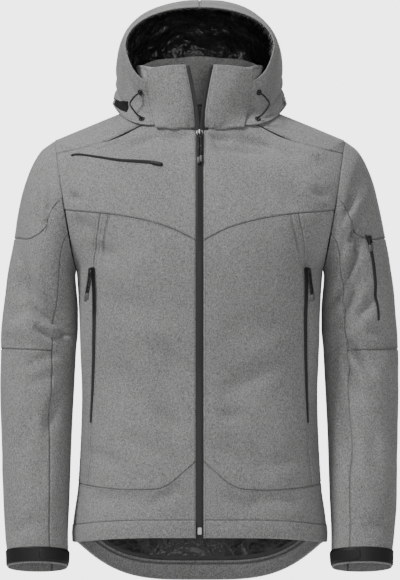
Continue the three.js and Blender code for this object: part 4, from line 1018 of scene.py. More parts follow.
frontStitch, topStitch = ("left", seam["front"]), ("top", seam["top"])
footStitch = ("bottom", seam["top"])
for name, side in sides:

    def shoulderPlace(a, b, side=side):
        front = b < 0.5
        column, backColumn = mix(frontMain, frontColumns, a), mix(backCorner, backHalf, a)
        frontAt = mix(cut["neck"], topSeam(column), smooth(a * 8))
        backAt = mix(cut["neck"], backTopSeam(backColumn), smooth(a * 8))
        ridgeAt = mix(cut["neck"], cut["shoulder"], a)
        at = np.where(front, mix(frontAt, ridgeAt, 2 * b), mix(ridgeAt, backAt, 2 * b - 1))
        toRidge = mix(frontShare(column, frontAt), 1, 2 * b)
        share = np.where(front, toRidge, mix(1, backShare(backColumn), 2 * b - 1))
        return bodySpot(side, np.where(front, -1, 1), share, at)

    hemPlace = frontPiece(side, 0, frontColumns, level(cut["hem"]), level(cut["band"]))
    hem = {"thick": cut["clothThick"] + bandProud, "sewn": [frontStitch], "extra": bandSwell}
    layCloth(f"hem_front_{name}", stops(330), stops(28, 4), hemPlace, "free seam seam free", **hem)
    lowerPlace = frontPiece(side, 0, frontColumns, level(cut["band"] - tucked), lowerCut)
    sewn = [frontStitch, topStitch, footStitch]
    layCloth(f"front_lower_{name}", stops(330), stops(80), lowerPlace, "free seam seam seam", sewn=sewn)
    inward, start, end = pocketLine["inward"], *pocketLine["reach"]
    line = ("right", inward, pocketLine["deep"], pocketLine["wide"], start, end)
    sewn = [frontStitch, topStitch, ("right", inward - 2, start, end), ("right", 6)]
    across, mainPlace = stops(185, 4.5, (185 - inward,)), frontPiece(side, 0, frontMain, lowerCut, yokeCut)
    work = {"edges": "free seam seam seam", "lines": [line], "sewn": sewn}
    layCloth(f"front_main_{name}", across, stops(400), mainPlace, **work)
    flankPlace = frontPiece(side, frontMain, frontColumns, lowerCut, yokeCut)
    layCloth(f"front_side_{name}", stops(120), stops(410), flankPlace, allSeams, sewn=[("left", 6)])
    chestPlace = frontPiece(side, 0, frontColumns, yokeCut, frontTop, (frontMain, topSeam))
    work = {"edges": "free soft soft seam", "sewn": [frontStitch, footStitch]}
    layCloth(f"front_chest_{name}", stops(290), stops(150), chestPlace, **work)
    work = {"edges": "seam soft seam soft", "sewn": [footStitch, topStitch]}
    layCloth(f"shoulder_{name}", stops(165), stops(110), shoulderPlace, **work)
hemPlace = backPiece(level(cut["hem"]), level(cut["band"]))
hem = {"thick": cut["clothThick"] + bandProud, "extra": bandSwell}
layCloth("hem_back", stops(560), stops(28, 4), hemPlace, "seam seam seam free", **hem)
lowerPlace = backPiece(level(cut["band"] - tucked), backYokeCut)
layCloth("back_lower", stops(540, 5), stops(520, 5), lowerPlace, allSeams, sewn=[footStitch, topStitch])
yokePlace = backPiece(backYokeCut, backTop, (backCorner, backTopSeam))
layCloth("back_yoke", stops(500, 5), stops(200, 5), yokePlace, "soft soft seam seam", sewn=[footStitch])


def liningPlace(a, b):
    side, facing, share = wayRound(a)
    at = mix(cut["band"] + 4, cut["armpit"] - 12, b)
    point, out = bodySpot(side, facing, share, at)
    ripple = 1.2 * np.sin(a * 170 + 3 * np.sin(b * 5)) * smooth(b * 9) + 0.6 * np.sin(a * 61 + b * 30)
    return point - out * (6.4 + ripple)[..., None], out


thinLining = {"thick": cut["liningThick"], "finish": "lining", "slot": "lining"}
layCloth("body_lining", np.linspace(0, 1, 161), np.linspace(0, 1, 61), liningPlace, **thinLining)
print("body cloth laid")

# Sleeves, each of a shoulder patch, an upper and a lower outer piece and one long under piece
underFront, underBack = 63, 297


def sleevePiece(side, low, high, start, end, outset=0.0):
    def place(a, b):
        turn = mix(low, high, a)
        return sleeveSpot(side, turn, mix(start(turn), end(turn), b), outset)

    return place


for name, side in sides:
    elbow, cuffEnd = level(cut["elbow"]), level(cut["cuff"])
    capPlace = sleevePiece(side, 95, 265, level(0), capEnd)
    across = stops(200, 4.5, (3.5, 196.5))
    layCloth(f"sleeve_cap_{name}", across, stops(150), capPlace, "none none seam soft", sewn=[topStitch])
    upperPlace = sleevePiece(side, underFront, underBack, capEnd, elbow)
    across = stops(260, 4.5, (35.6, 38.3, 221.7, 224.4))
    layCloth(f"sleeve_upper_{name}", across, stops(250), upperPlace, allSeams, sewn=[topStitch])
    forePlace = sleevePiece(side, underFront, underBack, elbow, cuffEnd)
    work = {"edges": "seam seam free seam", "sewn": [("left", seam["top"]), ("right", seam["top"])]}
    layCloth(f"sleeve_fore_{name}", stops(220), stops(348), forePlace, **work)
    underPlace = sleevePiece(side, underBack - 360, underFront, level(0), cuffEnd)
    layCloth(f"sleeve_under_{name}", stops(120), stops(560), underPlace, "seam seam free seam")
print("sleeves laid")

# Hood, collar and their lining
for name, side in sides:

    def hoodPlace(a, b, side=side):
        return hoodSpot(side, a, b * cut["hoodEdge"])

    work = {"edges": "free seam free free", "sewn": [("right", seam["top"]), ("bottom", 17.6), ("top", 5)]}
    layCloth(f"hood_{name}", stops(310), stops(350), hoodPlace, **work)


def crinkle(points, size, deep, seed):
    found = np.empty(points.shape[:-1])
    for index in np.ndindex(found.shape):
        place = Vector(points[index]) / size
        found[index] = noise.ridged_multi_fractal(place + Vector((seed, 0, 0)), 0.9, 2.1, 3, 1.0, 1.6)
    return deep * (found - found.mean())


def hoodLiningPlace(a, b):
    side = np.where(a < 0.5, 1, -1)
    share, at = mix(0.3, 1, 1 - np.abs(2 * a - 1)), mix(2, 268, b)
    base, out = hoodBase(share, at), hoodOut(share, at)
    inset = mix(2.5, 4.5, smooth(b * 12))
    return moved(base, out, -inset, side)


def liningCrinkle(a, b, points):
    calm = smooth(b * 14)
    gather = 1.5 * np.sin(a * 190 + 4 * np.sin(a * 21)) * np.exp(-((b - 0.06) * 16) ** 2)
    return (crinkle(points, 40, 4.6, 4.0) - 4.2) * calm + gather - 0.9


# the hood lining takes the lighter copy of the black taffeta: painted light
work = {**thinLining, "finish": "hoodLiningPaintedLight", "extra": liningCrinkle}
layCloth("hood_lining", np.linspace(0, 1, 201), np.linspace(0, 1, 101), hoodLiningPlace, **work)

underHood = {"inset": 5, "drop": 10, "thick": 1.2, "from": 0.42, "height": 10}


def underHoodPlace(a, b):
    side = np.where(a < 0.5, 1, -1)
    share = mix(underHood["from"], 1, 1 - np.abs(2 * a - 1))
    edge = hoodSpot(1, share, cut["hoodEdge"] - 3.0, -underHood["inset"], 0.0)[0]
    front = edge[..., 1] < 0
    deep = np.where(front, *(read(collarRings, k, np.full(a.shape, 10.0)) for k in ("front", "back")))
    half = read(collarRings, "half", np.full(a.shape, 10.0))
    turned = np.arctan2(edge[..., 0] / half, np.abs(edge[..., 1]) / deep) / (math.pi / 2)
    neck = collarSpot(1, np.where(front, -1, 1), turned, underHood["height"], np.full(a.shape, 0.62))[0]
    low = mix(edge, neck, 0.3)
    low[..., 2] = edge[..., 2] - underHood["drop"]
    first, second = mix(edge, low, np.clip(2 * b, 0, 1)[..., None]), mix(low, neck, (2 * b - 1)[..., None])
    points = mirrored(np.where((b < 0.5)[..., None], first, second), side)
    ways = unit(np.cross(np.gradient(points, axis=0), np.gradient(points, axis=1)))
    return points, ways * np.where(ways[..., 2:] > 0, -1, 1)


band = {"thick": underHood["thick"], "finish": "band", "slot": "strap"}
layCloth("hood_under", np.linspace(0, 1, 121), np.linspace(0, 1, 21), underHoodPlace, **band)

# The black end of that band shows at the hood's lower edge on the wearer's right
bandEnd = {"shares": (0.19, 0.335), "top": (205, 300), "foot": (285, 348), "proud": 0.4}
allFree = "free free free free"


def bandEndPlace(a, b):
    at = mix(mix(*bandEnd["top"], a), mix(*bandEnd["foot"], a), b)
    return hoodSpot(-1, mix(*bandEnd["shares"], a), at, bandEnd["proud"] + underHood["thick"])


layCloth("hood_band_end_right", stops(40, 3), stops(45, 3), bandEndPlace, allFree, **band)

collarLap = {"xLow": 69, "xTop": 77, "z": -31.5, "edge": 11.2, "low": 6, "step": 2.7, "thick": 2.4}


def collarShare(x, at):
    opened, half = read(collarRings, "open", at), read(collarRings, "half", at)
    return np.arcsin(np.clip((x - opened) / (half - opened), 0, 1)) / (math.pi / 2)


for name, side in sides:

    def collarPlace(a, b, side=side):
        at = b * cut["collarTop"]
        x = mix(read(collarRings, "open", at), mix(collarLap["xLow"], collarLap["xTop"], b), a)
        edge = mix(collarLap["low"], collarLap["edge"], smooth(at / 30))
        rise = mix(collarLap["step"], edge, np.clip((6 * a - 1) / 5, 0, 1) ** 1.3)
        lift = np.where(a < 1 / 6, mix(0.4, collarLap["step"], smooth(6 * a)), rise)
        point, out = collarSpot(side, -1, collarShare(x, at), at, lift)
        base, baseOut = onFront(1, x, np.full(a.shape, collarLap["z"]))
        base, baseOut = moved(base, baseOut, lift, side)
        low = (smooth(1 - at / 30) ** 0.8)[..., None]
        return mix(point, base, low), unit(mix(out, baseOut, low))

    def collarSoft(a, b, points, side=side):
        dents = table(
            "u0 w0 u1 w1 wide deep",
            (0.25 if side > 0 else 0.5, 0.06, 0.62, 0.1, 0.05, 1.6),
            (0.5, 0.5, 0.9, 0.3, 0.22, 1.2),
            (0.15, 0.95, 0.5, 0.8, 0.16, 0.9),
        )
        return swell(points, side, 0.7) * smooth(a * 5) * smooth(b * 5) - foldDepth(dents, a, b, 0.6)

    work = {"thick": collarLap["thick"], "sewn": [frontStitch], "extra": collarSoft}
    layCloth(f"collar_front_{name}", stops(75, 3), stops(106, 3), collarPlace, "free free free seam", **work)


# The back of the collar stands higher at its sides
collarBack = {"sunk": 1.6, "lift": 12, "from": 25, "to": 90, "slope": 0.2, "stitch": 5}


def collarBackPlace(a, b):
    side, facing, share = wayRound(a)
    share = mix(np.where(facing < 0, cut["collarUnder"], 0), 1, share)
    point, out = collarSpot(side, facing, share, b * cut["collarTop"], np.zeros(a.shape))
    point[..., 2] -= collarBack["sunk"] * np.exp(-b * cut["collarTop"] / 4)
    aside = (np.abs(point[..., 0]) - collarBack["from"]) / (collarBack["to"] - collarBack["from"])
    fromEnd = np.minimum(a, 1 - a) / collarBack["slope"]
    point[..., 2] += collarBack["lift"] * b**2 * smooth(aside) * smooth(fromEnd)
    return point, out


def collarBackSoft(a, b, points):
    turn = np.degrees(np.arctan2(points[..., 0], -points[..., 1]))
    return -foldDepth(collarFolds, turn, b * cut["collarTop"], 0.5) * smooth(b * 3)


# the back of the collar wears the lighter copy of the shell cloth: painted light
work = {"finish": "collarFacingPaintedLight", "sewn": [("top", collarBack["stitch"])], "extra": collarBackSoft}
layCloth("collar_back", stops(440, 4), stops(100, 4), collarBackPlace, "free free free seam", **work)
print("hood and collar laid")

# Cuff straps and their fastening tabs
cuff = {"proud": 0.35, "strapThick": 1.4, "tabThick": 1.2, "tabFrom": 6, "tabTo": 84, "tabHalf": 9}
strapOut = cuff["proud"] + cuff["strapThick"]
for name, side in sides:

    def tabPlace(a, b, side=side):
        turn = mix(cuff["tabFrom"], cuff["tabTo"], a)
        taper = np.sqrt(np.clip(1 - np.clip((a - 0.8) / 0.24, 0, 1) ** 2, 0, 1))
        middle = (cut["strapFrom"] + cut["strapTo"]) / 2
        reach = cuff["tabHalf"] * taper
        outset = strapOut + cuff["proud"] + cuff["tabThick"]
        return sleeveSpot(side, turn, mix(middle - reach, middle + reach, b), outset)

    webbing = {"name": f"cuff_strap_piece_{name}", "finish": "strap", "slot": "strap"}
    strapPlace = sleevePiece(side, 0, 360, level(cut["strapFrom"]), level(cut["strapTo"]), strapOut)
    work = {"edges": "none none free free", "thick": cuff["strapThick"], **webbing}
    layCloth(f"cuff_strap_{name}", np.linspace(0, 1, 91), stops(23, 4), strapPlace, **work)
    work = {"edges": allFree, "thick": cuff["tabThick"], **webbing, "name": f"cuff_tab_piece_{name}"}
    layCloth(f"cuff_tab_{name}", stops(70, 3), stops(18, 3), tabPlace, **work)
print("cuffs laid")

# Zips: strips that follow a line of places, with a raised profile
def along(path, step):
    # path: points, outs and half widths, one row each, read again at even steps
    points, outs, half = path
    length = arcs(points[:, None], 0)[:, 0]
    even = np.linspace(0, length[-1], max(3, int(length[-1] / step)))
    cubic = {"at": length, **{f"p{k}": points[:, k] for k in range(3)}}
    spots = np.stack([read(cubic, f"p{k}", even) for k in range(3)], 1)
    return spots, unit(between(even, length, outs)), np.interp(even, length, half)


def closedSkin(bm, rows, length=None):
    # Rows of places joined into a closed skin, with a UV round and along it where its length is given
    uvLayer = None if length is None else bm.loops.layers.uv.new("UVMap")
    rings = [[bm.verts.new(Vector(spot * mm)) for spot in row] for row in rows]
    count = len(rings[0])
    for k, (low, high) in enumerate(zip(rings, rings[1:])):
        for j in range(count):
            n = (j + 1) % count
            face = bm.faces.new((low[j], low[n], high[n], high[j]))
            if uvLayer:
                for loop, (a, b) in zip(face.loops, ((k, j), (k, j + 1), (k + 1, j + 1), (k + 1, j))):
                    loop[uvLayer].uv = (b * mm, length[a] * mm)
    bm.faces.new(rings[0][::-1])
    bm.faces.new(rings[-1])
    bmesh.ops.recalc_face_normals(bm, faces=bm.faces)


def ribbon(name, path, profile, finish, slot, step=2.0, bottom=0.15, rounded=2.5):
    points, outs, half = along(path, step)
    across = unit(np.cross(unit(np.gradient(points, axis=0)), outs))
    length = arcs(points[:, None], 0)[:, 0]
    near = np.minimum(length, length[-1] - length)
    taper = np.sqrt(np.clip(1 - np.clip(1 - near / rounded, 0, 1) ** 2, 0.02, 1))
    outline = [*profile, (1, bottom), (-1, bottom)]
    rows = [
        [place + way * t * wide * end + out * (bottom + (h - bottom) * end) for t, h in outline]
        for place, way, out, wide, end in zip(points, across, outs, half, taper)
    ]
    bm = bmesh.new()
    closedSkin(bm, rows, length)
    return meshObject(name, bm, finish)


zipHalf = [(-1, 0.3), (-0.93, 1.0), (-0.8, 1.35), (-0.45, 1.4), (-0.36, 1.95), (-0.12, 2.0), (-0.05, 1.2)]
zipProfile = zipHalf + [(-t, h) for t, h in zipHalf[::-1]]
garageProfile = [(-1, 1.0), (-0.85, 2.9), (-0.5, 3.4), (0.5, 3.4), (0.85, 2.9), (1, 1.0)]
sideZip = table(
    "z half", (-249, 4.1), (-290, 4.1), (-331, 3.9), (-373, 3.6), (-414, 3.3), (-455, 2.8), (-495, 1.9)
)
chestZip = table(
    "x z half",
    (203, -73.5, 2.0),
    (193, -71.5, 1.7),
    (157, -76.5, 2.0),
    (124, -81.5, 2.4),
    (78, -84.8, 3.0),
    (57, -89.5, 2.8),
)
garage = table("x z half", (77, -85.2, 2.4), (73, -86.0, 3.1), (62, -88.4, 3.1), (58, -89.2, 2.4))
sleeveZip = table(
    "x z half",
    (266, -197, 2.2),
    (270, -221, 3.2),
    (274.5, -247, 3.0),
    (277, -272, 2.8),
    (280, -300, 2.4),
    (283.5, -334, 1.8),
)
onZip = 2.25  # how far the sliders of the pocket zips sit off the cloth


def dense(rows, by, step=2.5):
    # The same line with a row every few millimetres, so that it follows the creases of its cloth
    first, last = rows[by][0], rows[by][-1]
    place = np.linspace(first, last, max(6, int(abs(last - first) / step)))
    return {name: place if name == by else read(rows, name, place, by) for name in rows}


sideLine, chestLine = dense(sideZip, "z"), dense(chestZip, "x")
garageLine, sleeveLine = dense(garage, "x"), dense(sleeveZip, "z")
pocketWork = (zipProfile, "pocketTape", "tape")
for name, side in sides:
    rows = sideLine["z"]
    path = (*onFront(side, read(pocketSeam, "x", rows, "z"), rows), sideLine["half"])
    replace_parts(ribbon(f"side_zip_tape_{name}", path, *pocketWork), f"side_zip_{name}")
path = (*onFront(-1, chestLine["x"], chestLine["z"]), chestLine["half"])
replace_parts(ribbon("chest_zip_tape", path, *pocketWork), "chest_zip")
path = (*onFront(-1, garageLine["x"], garageLine["z"]), garageLine["half"])
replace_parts(ribbon("chest_zip_garage", path, garageProfile, "strap", "pull", 1.0), "chest_slider")
path = (*onSleeve(1, sleeveLine["x"], sleeveLine["z"]), sleeveLine["half"])
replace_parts(ribbon("sleeve_zip_tape", path, *pocketWork), "sleeve_zip")

# The front zip: a tape behind each front edge, with a row of teeth that close below the slider
frontZip = {
    "tape": ((-5.65, 0.9), (-5.3, 0.55), (-2.6, 0.6), (-0.6, 0.9), (1, 2.4), (2.5, 2.7), (7, 2.8)),
    "thick": 0.63,
    "toothPitch": 3.0,
    "tooth": (3.1, 1.5, 1.7),
    "toothInward": 4.7,
    "toothSunk": 0.45,
    "sliderAt": 791,
    "stopAt": 10,
}


def frontEdge(side):
    at = np.arange(3, 797, 4.0)
    body, bodyOut = bodySpot(side, -1, np.zeros(at.shape), at)
    height = np.array([34.0, 46, 58, 70, 80, 90, 101])
    collar, collarOut = collarSpot(side, -1, np.zeros(height.shape), height, np.zeros(height.shape))
    edge = np.concatenate([np.full(at.shape, 6.0), read(collarRings, "open", height)])
    points, outs = np.concatenate([body, collar]), np.concatenate([bodyOut, collarOut])
    points[:, 0], outs[:, 0] = side * edge, 0
    return points, unit(outs)


def boxInto(bm, size, stand, bevel=0.0):
    size = Matrix.Diagonal((*(length * mm for length in size), 1))
    made = bmesh.ops.create_cube(bm, size=1, matrix=stand @ size)["verts"]
    if bevel:
        edges, width = list({edge for v in made for edge in v.link_edges}), bevel * mm
        bmesh.ops.bevel(bm, geom=edges, offset=width, affect="EDGES", segments=1, profile=0.5, material=-1)


def basis(across, depth, up, place):
    made = Matrix([Vector(way) for way in (across, depth, up)]).transposed().to_4x4()
    made.translation = Vector(place) * mm
    return made


teeth = bmesh.new()
for name, side in sides:
    points, outs, _ = along((*frontEdge(side), np.ones(len(frontEdge(side)[0]))), 2.5)
    outwards, tape = np.array([side, 0, 0]), frontZip["tape"]
    outline = [*tape, *((x, sunk + frontZip["thick"]) for x, sunk in tape[::-1])]
    rows = [[place + outwards * x - out * sunk for x, sunk in outline] for place, out in zip(points, outs)]
    length = arcs(points[:, None], 0)[:, 0]
    bm = bmesh.new()
    closedSkin(bm, rows, length)
    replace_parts(meshObject(f"front_zip_tape_{name}", bm, "tape"), f"zip_tape_{name}")
    pitch = frontZip["toothPitch"]
    start = 8 + (pitch / 2 if side > 0 else 0)
    for s in np.arange(start, length[-1] - 3, pitch):
        place, out = between(s, length, points), unit(between(s, length, outs))
        ahead = unit(between(s + 1, length, points) - place)
        spot = place - outwards * frontZip["toothInward"] - out * frontZip["toothSunk"]
        boxInto(teeth, frontZip["tooth"], basis(unit(np.cross(ahead, -out)), -out, ahead, spot))
meshObject("front_zip_teeth", teeth, "teeth", smoothed=False)
print("zips laid")


# Sliders: a bevelled plate on the zip and an arch that holds the pull
def prism(bm, outline, low, high, stand, bevel):
    # outline in x and z of the stand, raised along its -y from low to high
    bottom, top = (
        [bm.verts.new(stand @ Vector((x * mm, -level * mm, z * mm))) for x, z in outline]
        for level in (low, high)
    )
    faces = [bm.faces.new(bottom), bm.faces.new(top[::-1])]
    for j in range(len(outline)):
        n = (j + 1) % len(outline)
        faces.append(bm.faces.new((bottom[j], top[j], top[n], bottom[n])))
    edges, width = list({edge for face in faces for edge in face.edges}), bevel * mm
    bmesh.ops.recalc_face_normals(bm, faces=faces)
    bmesh.ops.bevel(bm, geom=edges, offset=width, affect="EDGES", segments=2, profile=0.5, material=-1)


def tube(name, path, radius, finish, body, sections=14, braid=0.0, pitch=5.2):
    # A closed tube along a dense path, with the diamonds of its braid raised
    path = np.asarray(path, float)
    ahead = unit(np.gradient(path, axis=0))
    aside = unit(np.cross(ahead[0], (0.3, 0.9, 0.2)))
    length = arcs(path[:, None], 0)[:, 0]
    turn = np.linspace(0, 2 * math.pi, sections, endpoint=False)
    rings = []
    for k, place in enumerate(path):
        aside = unit(aside - ahead[k] * np.dot(aside, ahead[k]))
        twist = length[k] * 2 * math.pi / pitch
        bulge = 1 + braid * np.abs(np.cos(1.5 * turn + twist) * np.cos(1.5 * turn - twist)) - braid / 2
        near = min(length[k], length[-1] - length[k])
        close = math.sqrt(max(0.12, 1 - max(0, 1 - near / (radius * 0.6)) ** 2))
        ways = np.cos(turn)[:, None] * aside + np.sin(turn)[:, None] * np.cross(ahead[k], aside)
        rings.append(place + ways * (radius * close * bulge)[:, None])
    bm = bmesh.new()
    closedSkin(bm, rings)
    return meshObject(name, bm, finish, body=body)


def curved(points, step=0.8):
    # A smooth line through the points, at even steps
    points = np.asarray(points, float)
    ends = np.concatenate([[2 * points[0] - points[1]], points, [2 * points[-1] - points[-2]]])
    fine = []
    for a, b, c, d in zip(ends, ends[1:], ends[2:], ends[3:]):
        t = np.linspace(0, 1, 24, endpoint=False)[:, None]
        bends = (2 * a - 5 * b + 4 * c - d) * t**2 + (3 * b - a - 3 * c + d) * t**3
        fine.append(0.5 * (2 * b + (c - a) * t + bends))
    fine = np.concatenate([*fine, points[-1:]])
    length = arcs(fine[:, None], 0)[:, 0]
    even = np.linspace(0, length[-1], max(8, int(length[-1] / step)))
    return between(even, length, fine)


slider = {
    "half": 5,
    "plate": ((-0.55, -1), (0.55, -1), (1, 0.35), (0.8, 1), (-0.8, 1), (-1, 0.35)),
    "plateThick": 2.2,
    "archTall": 2.6,
    "archReach": 4.2,
    "archThick": 1.2,
    "archHalf": 1.1,
    "bridgeHalf": 1.15,
}
pull = {"strandHalf": 1.75, "apart": 2.0, "endLong": 9.5, "endHalf": 2.05, "lower": 2.6}
endStop = {"size": (6.8, 2.2, 11), "sunk": 0.6, "up": 1, "bevel": 0.6}


def zipSlider(name, spot, out, base, scale, finish):
    inward = -np.asarray(out)
    across = unit(-np.cross((0, 0, 1), inward))
    stand = basis(across, inward, np.cross(across, inward), spot - inward * base)
    bm = bmesh.new()
    half = slider["half"] * scale
    plate = [(x * half, z * half) for x, z in slider["plate"]]
    prism(bm, plate, 0, slider["plateThick"], stand, 0.45)
    top = slider["archTall"] + slider["archThick"]
    reach = slider["plateThick"] + slider["archReach"]
    wide, low = slider["archHalf"], slider["archTall"]
    for way in (-1, 1):  # two feet and the bridge between them
        foot = [(-wide, way * top), (wide, way * top), (wide, way * low), (-wide, way * low)]
        prism(bm, foot, 1.2, reach + 0.3, stand, 0.3)
    wide = slider["bridgeHalf"]
    bridge = [(-wide, -top), (wide, -top), (wide, top), (-wide, top)]
    prism(bm, bridge, reach, reach + slider["archThick"], stand, 0.5)
    bmesh.ops.recalc_face_normals(bm, faces=bm.faces)
    piece = meshObject(f"{name}_slider_body", bm, finish, smoothed=False)
    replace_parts(piece, f"{name}_slider")


def farthest(name, pivot):
    node = frame["nodes"][name]
    spots = np.array([node.matrix_world @ v.co for v in node.data.vertices]) / mm
    away = np.linalg.norm(spots - pivot, axis=1)
    return spots[away > away.max() - 1.5].mean(0)


def zipPull(name, joint, body, length, lean=0.0):
    # lean: how far the free ends sway towards the wearer's left
    pivot = np.array(joint["pos_m"]) / mm
    across = -unit(np.array(joint["axis"], float))
    tip = farthest(f"{name}_pull", pivot)
    down = unit((tip - pivot) - across * np.dot(tip - pivot, across))
    depth = np.cross(-down, across)
    apart, ends = pull["apart"], length - pull["endLong"]

    def spot(x, below, lift=0.0):
        sway = np.array([lean, 0, 0]) * (np.maximum(below, 0) / length) ** 1.5
        return pivot + across * x + down * below - depth * lift + sway

    loop = [spot(0, -2.1), spot(-1.4, -1.6), spot(-apart, 0.8), spot(-apart * 1.04, 8)]
    left = [spot(-apart * 0.98, ends * 0.5, 0.2), spot(-apart * 1.05, ends + pull["lower"] - 1)]
    right = [spot(apart * 1.02, ends * 0.5), spot(apart * 0.98, ends - 1)]
    other = [spot(1.4, -1.6), spot(apart, 0.8), spot(apart * 1.04, 8)]
    line = curved([*left[::-1], *loop[::-1], *other, *right])
    cord = tube(f"{name}_pull_cord", line, pull["strandHalf"], "pull", body, 14, 0.16)
    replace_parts(cord, f"{name}_pull")
    for label, x, lower in (("a", -apart * 1.05, pull["lower"]), ("b", apart * 0.98, 0)):
        bm = bmesh.new()
        start, end, half = ends - 1.5 + lower, length + lower, pull["endHalf"]
        stand = basis(across, depth, -down, spot(x, (start + end) / 2))
        boxInto(bm, (2 * half, 1.9 * half, end - start), stand, 0.9)
        meshObject(f"{name}_pull_end_{label}", bm, "pullEnd", body=body)
    bm = bmesh.new()
    for place in (11.0, ends * 0.62):
        boxInto(bm, (7.9, 3.9, 1.3), basis(across, depth, -down, spot(0, place)), 0.5)
    meshObject(f"{name}_pull_whipping", bm, "strap", body=body)


def one(spots):
    return (rows[0] for rows in spots)


joints = {row["name"]: row for row in frame["record"]["behaviour"]["joints"]}
seat, out = one(bodySpot(1, -1, np.zeros(1), np.array([float(frontZip["sliderAt"])])))
seat[0] = out[0] = 0
zipSlider("zip", seat, unit(out), 0.1, 1.1, "metal")
zipPull("zip", joints["front_pull_hinge"], "front_pull", 52)
for name, side in sides:
    z = np.array([-254.0])
    seat, out = one(onFront(side, read(pocketSeam, "x", z, "z"), z))
    zipSlider(f"side_{name}", seat, out, onZip, 0.95, "darkMetal")
    zipPull(f"side_{name}", joints[f"side_pull_{name}_hinge"], f"side_pull_{name}", 46, 6.5 * side)
seat, out = one(onSleeve(1, np.array([267.0]), np.array([-203.0])))
zipSlider("sleeve", seat, out, onZip, 0.85, "darkMetal")
zipPull("sleeve", joints["arm_pull_hinge"], "arm_pull", 19)

seat, out = one(bodySpot(1, -1, np.zeros(1), np.array([float(frontZip["stopAt"])])))
seat = (0, seat[1] - endStop["sunk"], seat[2] + endStop["up"])
stop = bmesh.new()
boxInto(stop, endStop["size"], basis((1, 0, 0), (0, 1, 0), (0, 0, 1), seat), endStop["bevel"])
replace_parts(meshObject("zip_end_stop", stop, "metal", smoothed=False), "zip_stop")
print("sliders and pulls made")

# Hood drawcords between their eyelets
cordLook = {
    "half": 1.35,
    "proud": 0.4,  # how far an eyelet sits off the cloth
    "ring": ((2.3, 0), (4.8, 0), (4.8, 0.5), (4.1, 1.15), (3.2, 1.35), (2.5, 0.9), (2.3, 0.3)),
    "bow": (
        ("upper", -1.5, (0, 0, 0)),
        ("upper", 4, (0, 0, 0)),
        ("upper", 7, (5, 0, -4)),
        ("upper", 6, (13, 0, -15)),
        ("lower", 7, (14, 0, 13)),
        ("lower", 8, (6, 0, 2)),
        ("lower", 4, (0, 0, 0)),
        ("lower", -1.5, (0, 0, 0)),
    ),
}
eyeletPlaces = {"upper": (93.5, 27.5), "lower": (91.5, -15)}


def onHood(x, z):
    x, z = np.array([x], float), np.array([z], float)
    return one(hoodSpot(1, *placeOf(hoodBase, x * 0 + 0.16, 205 - 4 * z, x, z, (1e-3, 0.5))))


for name, side in sides:
    holes = {}
    for label, (x, z) in eyeletPlaces.items():
        point, out = holes[label] = tuple(onHood(x, z))
        up, place = Vector(out), Vector(point + out * cordLook["proud"])
        across = up.orthogonal().normalized()
        spin = bmesh.new()
        verts = [spin.verts.new((place + across * r + up * h) * mm) for r, h in cordLook["ring"]]
        ring = verts + [spin.edges.new(pair) for pair in zip(verts, verts[1:] + verts[:1])]
        whole = {"angle": 2 * math.pi, "steps": 28, "use_merge": True}
        bmesh.ops.spin(spin, geom=ring, cent=place * mm, axis=up, **whole)
        bmesh.ops.remove_doubles(spin, verts=spin.verts, dist=1e-6)
        if side < 0:
            bmesh.ops.scale(spin, vec=(-1, 1, 1), verts=spin.verts)
        bmesh.ops.recalc_face_normals(spin, faces=spin.faces)
        piece = meshObject(f"hood_eyelet_{name}_{label}", spin, "eyelet")
        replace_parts(piece, f"eyelet_{name}_{label}")
    bow = []
    for label, out, reach in cordLook["bow"]:
        point, way = holes[label]
        bow.append(point + way * out + reach)
    line = curved(np.array(bow) * (side, 1, 1), 0.9)
    rope = tube(f"hood_drawcord_{name}", line, cordLook["half"], "cord", "jacket", 12, 0.1, 4.2)
    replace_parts(rope, f"drawcord_{name}")
    length = float(arcs(line[:, None], 0)[-1, 0]) * mm
    list(line[0] * mm)
    [list(p * mm) for p in line]
    print("drawcord", name, round(length, 4))

# Camera, light and floor
studio = {
    "distance": 4500,
    "horizon": -285,
    "perPixel": 1.6,
    "imageHigh": 580,
    "shiftRight": 0.5,
    "floor": -1800,
    "around": 0.2,
    "behind": 4.0,
}
camera = sceneObject("camera", bpy.data.cameras.new("camera"))
camera.location = (studio["shiftRight"] * mm, -studio["distance"] * mm, studio["horizon"] * mm)
camera.rotation_euler = (math.pi / 2, 0, 0)
camera.data.sensor_width = 36
camera.data.lens = 36 * studio["distance"] / (studio["imageHigh"] * studio["perPixel"])
camera.data.clip_end = 40
bpy.context.scene.camera = camera

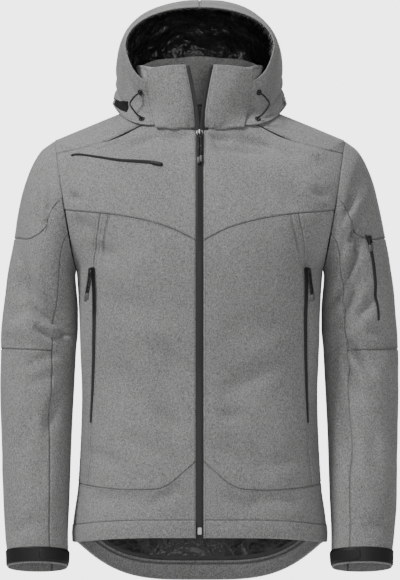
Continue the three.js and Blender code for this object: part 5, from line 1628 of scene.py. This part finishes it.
# A bright wall far behind the jacket, dimmer all round
sky = Finish("studio", bpy.data.worlds.new("studio"))
bpy.context.scene.world = sky.material
ahead = sky.node("ShaderNodeTexCoord", {}, {}, "Generated")
ahead = sky.node("ShaderNodeSeparateXYZ", {}, {"Vector": ahead}, "Y")
span = {"From Min": 0.93, "From Max": 0.975, "To Min": studio["around"], "To Max": studio["behind"]}
eased = {"interpolation_type": "SMOOTHSTEP"}
glow = sky.node("ShaderNodeMapRange", eased, {"Value": ahead, **span}, "Result")
sky.finish(Color=(1, 1, 1, 1), Strength=glow)
lamps = {
    "key": ((-2.1, -1.5, 2.7), 0.7, 142),
    "fill": ((3.2, -2.2, 0.6), 1.8, 8),
    "front": ((0.3, -4.4, -0.1), 0.9, 44),
    "top": ((0.4, -0.2, 2.6), 1.2, 22),
    "back": ((0.6, 2.8, 1.2), 2.0, 22),
}
for name, (spot, size, power) in lamps.items():
    lamp = sceneObject(name, bpy.data.lights.new(name, "AREA"))
    lamp.data.size, lamp.data.energy = size, power
    lamp.location = spot
    aim = Vector((0, 0, studio["horizon"] * mm)) - lamp.location
    lamp.rotation_euler = aim.to_track_quat("-Z", "Y").to_euler()

floor = bmesh.new()
bmesh.ops.create_grid(floor, x_segments=1, y_segments=1, size=5)
bmesh.ops.translate(floor, vec=(0, 0, studio["floor"] * mm), verts=floor.verts)
floorMesh = bpy.data.meshes.new("floor")
floor.to_mesh(floorMesh)
floor.free()
floorFinish = Finish("paleFloor")
floorMesh.materials.append(floorFinish.finish(Base_Color=(0.9, 0.9, 0.9, 1), Roughness=0.9))
floorPiece = sceneObject("floor", floorMesh)

# Two short stitched lines above the lower seam
for side, places in ((-1, (58.1, -560.5, 51.4, -584.1)), (1, (64.8, -563.9, 61.4, -584.1))):
    t = np.linspace(0, 1, 12)
    spots, outs = onFront(side, mix(places[0], places[2], t), mix(places[1], places[3], t))
    sewAlong(spots, outs)

# Stitches: one thread piece for all rows
thread = bpy.data.curves.new("stitches", "CURVE")
thread.dimensions, thread.bevel_depth, thread.bevel_resolution = "3D", seam["threadHalf"] * mm, 0
for spots in stitches:
    line = thread.splines.new("POLY")
    line.points.add(len(spots) - 1)
    line.points.foreach_set("co", np.concatenate([spots * mm, np.ones((len(spots), 1))], 1).ravel())
    line.points.foreach_set("radius", [0.5, 1, 1, 0.5])
holder = bpy.data.objects.new("threadCurve", thread)
threadMesh = bpy.data.meshes.new_from_object(holder)
bpy.data.objects.remove(holder)
threadPiece = sceneObject("seam_stitching", threadMesh)
threadMesh.materials.clear()
threadMesh.materials.append(finishes["thread"])
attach(threadPiece, "jacket")
print("stitches", len(stitches))

slotOf = {row["node"]: row["material_slot"] for row in frame["record"]["subparts"]}
for name, node in frame["nodes"].items():
    node.data.materials.clear()
    node.data.materials.append(finishes[slotOf[name]])
